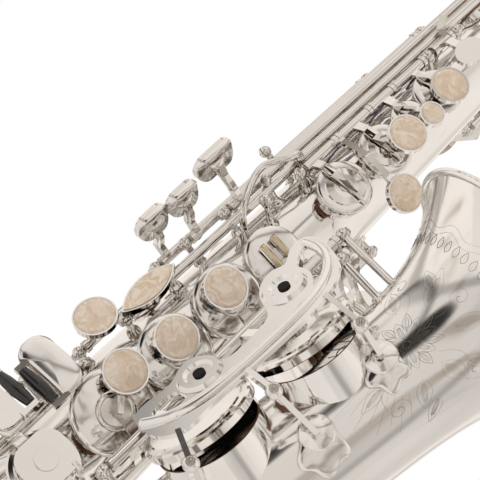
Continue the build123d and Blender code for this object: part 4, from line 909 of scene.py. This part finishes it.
def coil_spring_rod():
    """short rod with two coil springs beside the right-hand rod line"""
    solids = Solids()
    start, end = Vector((8.6, -33.0, 172.0)), Vector((8.2, -33.0, 208.0))
    axis = (end - start).normalized()
    solids.tube([start, start * 0.5 + end * 0.5, end], 1.25, 14)
    for ball in (start, end):
        foot = Vector((ball.x, ball.y, 0)).normalized() * tube_r(ball.z)
        foot.z = ball.z
        solids.ball_post(ball, foot, 2.7)
    x = square_to(axis)
    y = axis.cross(x)
    turns, steps, coil_length, coil_r = 8, 96, 9.0, 2.0
    for share in (0.14, 0.62):      # of the rod's height, where a coil starts
        helix = []
        for i in range(steps + 1):
            a = 2 * math.pi * turns * i / steps
            along = (end.z - start.z) * share + coil_length * i / steps
            helix.append(start + axis * along + (x * math.cos(a) + y * math.sin(a)) * coil_r)
        solids.tube(helix, 0.42, 7, STEEL)
    solids.build("coil_spring_rod", KEY_SET, "body", "pivot_steel")


def pivot_screws():
    """slotted screws at both ends of every pivot rod"""
    solids = Solids()
    mesh = bpy.data.objects["pivot_rods"].data
    bodies = {}
    for polygon, label in zip(mesh.polygons, islands(mesh)):
        bodies.setdefault(label, set()).update(polygon.vertices)
    count = 0
    for label in sorted(bodies):
        points = [mesh.vertices[i].co * 1000.0 + STRAP_RING for i in sorted(bodies[label])]
        extents = [max(p[i] for p in points) - min(p[i] for p in points) for i in range(3)]
        long_way = extents.index(max(extents))
        if extents[long_way] < 12.0:
            continue
        low = min(p[long_way] for p in points)
        high = max(p[long_way] for p in points)
        low_end = [p for p in points if p[long_way] < low + 0.4]
        high_end = [p for p in points if p[long_way] > high - 0.4]
        start = sum(low_end, Vector()) / len(low_end)
        end = sum(high_end, Vector()) / len(high_end)
        axis = (end - start).normalized()
        for tip, outward in ((start, -axis), (end, axis)):
            solids.screw(tip + outward * 2.55, outward, 1.75, 1.0, 0.4 + 0.7 * (count % 5))
            count += 1
    solids.build("pivot_screws", KEY_SET, "body", "pivot_steel")


side_posts()
needle_springs()
coil_spring_rod()
pivot_screws()

# ------------------------------------------------------------------ camera
CAMERA_PLACE = Vector((-0.3979, -0.5909, -0.2928))
# The camera's own axes in the scene; it looks against BACK
RIGHT = (0.4148, -0.6205, 0.6655)
UP = (-0.7503, 0.1805, 0.6360)
BACK = (-0.5147, -0.7631, -0.3907)

scene = bpy.context.scene
camera = bpy.data.objects.new("camera", bpy.data.cameras.new("camera"))
scene.collection.objects.link(camera)
pose = Matrix((RIGHT, UP, BACK)).transposed().to_4x4()
pose.translation = CAMERA_PLACE
camera.matrix_world = pose
camera.data.lens = 120.0
camera.data.sensor_width = 36.0
camera.data.clip_start = 0.01
scene.camera = camera
scene.view_settings.view_transform = "Standard"

# ------------------------------------------------------------------ studio
# (position, brightness) stops across the surroundings along each camera axis;
# position 0 lies against the axis and 1 along it
BACK_STOPS = [(0.0, 0.98), (0.30, 0.95), (0.50, 0.92), (0.62, 0.89), (0.78, 0.82),
              (0.92, 0.73), (1.0, 0.68)]
RIGHT_STOPS = [(0.0, 1.0), (0.155, 0.95), (0.175, 0.50), (0.20, 0.52), (0.225, 0.9),
               (0.50, 1.0), (0.74, 1.0), (0.78, 0.80), (0.84, 0.78), (0.90, 0.95), (1.0, 1.0)]
UP_STOPS = [(0.0, 0.88), (0.20, 0.92), (0.25, 0.92), (0.275, 0.62), (0.30, 0.66), (0.33, 0.95),
            (0.62, 1.0), (0.845, 1.0), (0.865, 0.25), (0.89, 0.95), (1.0, 1.0)]
CARD_STOPS = [(0.0, 1.0), (0.985, 1.0), (0.991, 0.10), (0.996, 0.04), (1.0, 0.04)]


def card_direction():
    """where the flare of the bell mirrors the camera's view"""
    point, normal = on_bell(56.0, 190.0)
    view = (to_scene(point) - CAMERA_PLACE).normalized()
    return (view - normal * (2 * view.dot(normal))).normalized()


def studio_world():
    """patterned warm surroundings for the lighting, plain white behind the picture"""
    world = bpy.data.worlds.new("studio")
    scene.world = world
    world.use_nodes = True
    tree = world.node_tree
    tree.nodes.clear()
    place = node(tree, "TexCoord").outputs["Generated"]

    def shade(direction, stops):
        along = node(tree, "VectorMath", {0: place, 1: direction}, operation="DOT_PRODUCT")
        position = remap(tree, along.outputs["Value"], to=(0.0, 1.0), source=(-1.0, 1.0))
        return ramp(tree, position, [(at, (level, level * 0.983, level * 0.965))
                                     for at, level in stops])

    cloud = noise(tree, place, scale=2.2, detail=2.0, rough=0.5, distort=0.3)
    patches = ramp(tree, cloud, [(0.30, (0.62, 0.57, 0.53)), (0.38, (0.87, 0.85, 0.83)),
                                 (0.46, WHITE)])
    color = multiply(tree, multiply(tree, shade(BACK, BACK_STOPS), patches, factor=1.0),
                     multiply(tree, shade(RIGHT, RIGHT_STOPS), shade(UP, UP_STOPS), factor=1.0),
                     factor=1.0)
    color = multiply(tree, color, shade(card_direction(), CARD_STOPS), factor=1.0)
    lighting = node(tree, "Background", {0: color})
    backdrop = node(tree, "Background", {0: (1, 1, 1, 1)})
    mix = node(tree, "MixShader", {0: node(tree, "LightPath").outputs["Is Camera Ray"],
                                   1: lighting.outputs[0], 2: backdrop.outputs[0]})
    node(tree, "OutputWorld", {0: mix.outputs[0]})


def area_light(name, place, size, power):
    """square light aimed near the origin, not seen in reflections"""
    light = bpy.data.lights.new(name, "AREA")
    light.size = size
    light.energy = power
    lamp = bpy.data.objects.new(name, light)
    scene.collection.objects.link(lamp)
    lamp.location = place
    lamp.visible_glossy = False
    aim = Vector((0, -0.05, 0.0)) - Vector(place)
    lamp.rotation_euler = aim.to_track_quat("-Z", "Y").to_euler()


def add_floor():
    """disc just under the instrument"""
    r, middle_y, segments = 0.5, -0.03, 96
    points = [(0, middle_y, 0)]
    for i in range(segments):
        a = 2 * math.pi * i / segments
        points.append((r * math.cos(a), middle_y + r * math.sin(a), 0))
    mesh = bpy.data.meshes.new("floor")
    mesh.from_pydata(points, [], [(0, 1 + i, 1 + (i + 1) % segments) for i in range(segments)])
    floor = bpy.data.objects.new("floor", mesh)
    floor.location = (0, 0, CAD_LO[2] - 0.002)
    scene.collection.objects.link(floor)
    material, tree, shader = new_material("floor_mat")
    feed(tree, shader, {"Base Color": (0.9, 0.9, 0.9, 1), "Roughness": 0.6})
    mesh.materials.append(material)


studio_world()
area_light("key", place=(-1.3, -0.9, 0.9), size=0.7, power=5.0)
area_light("fill", place=(0.5, -1.5, -0.5), size=0.8, power=2.0)
add_floor()
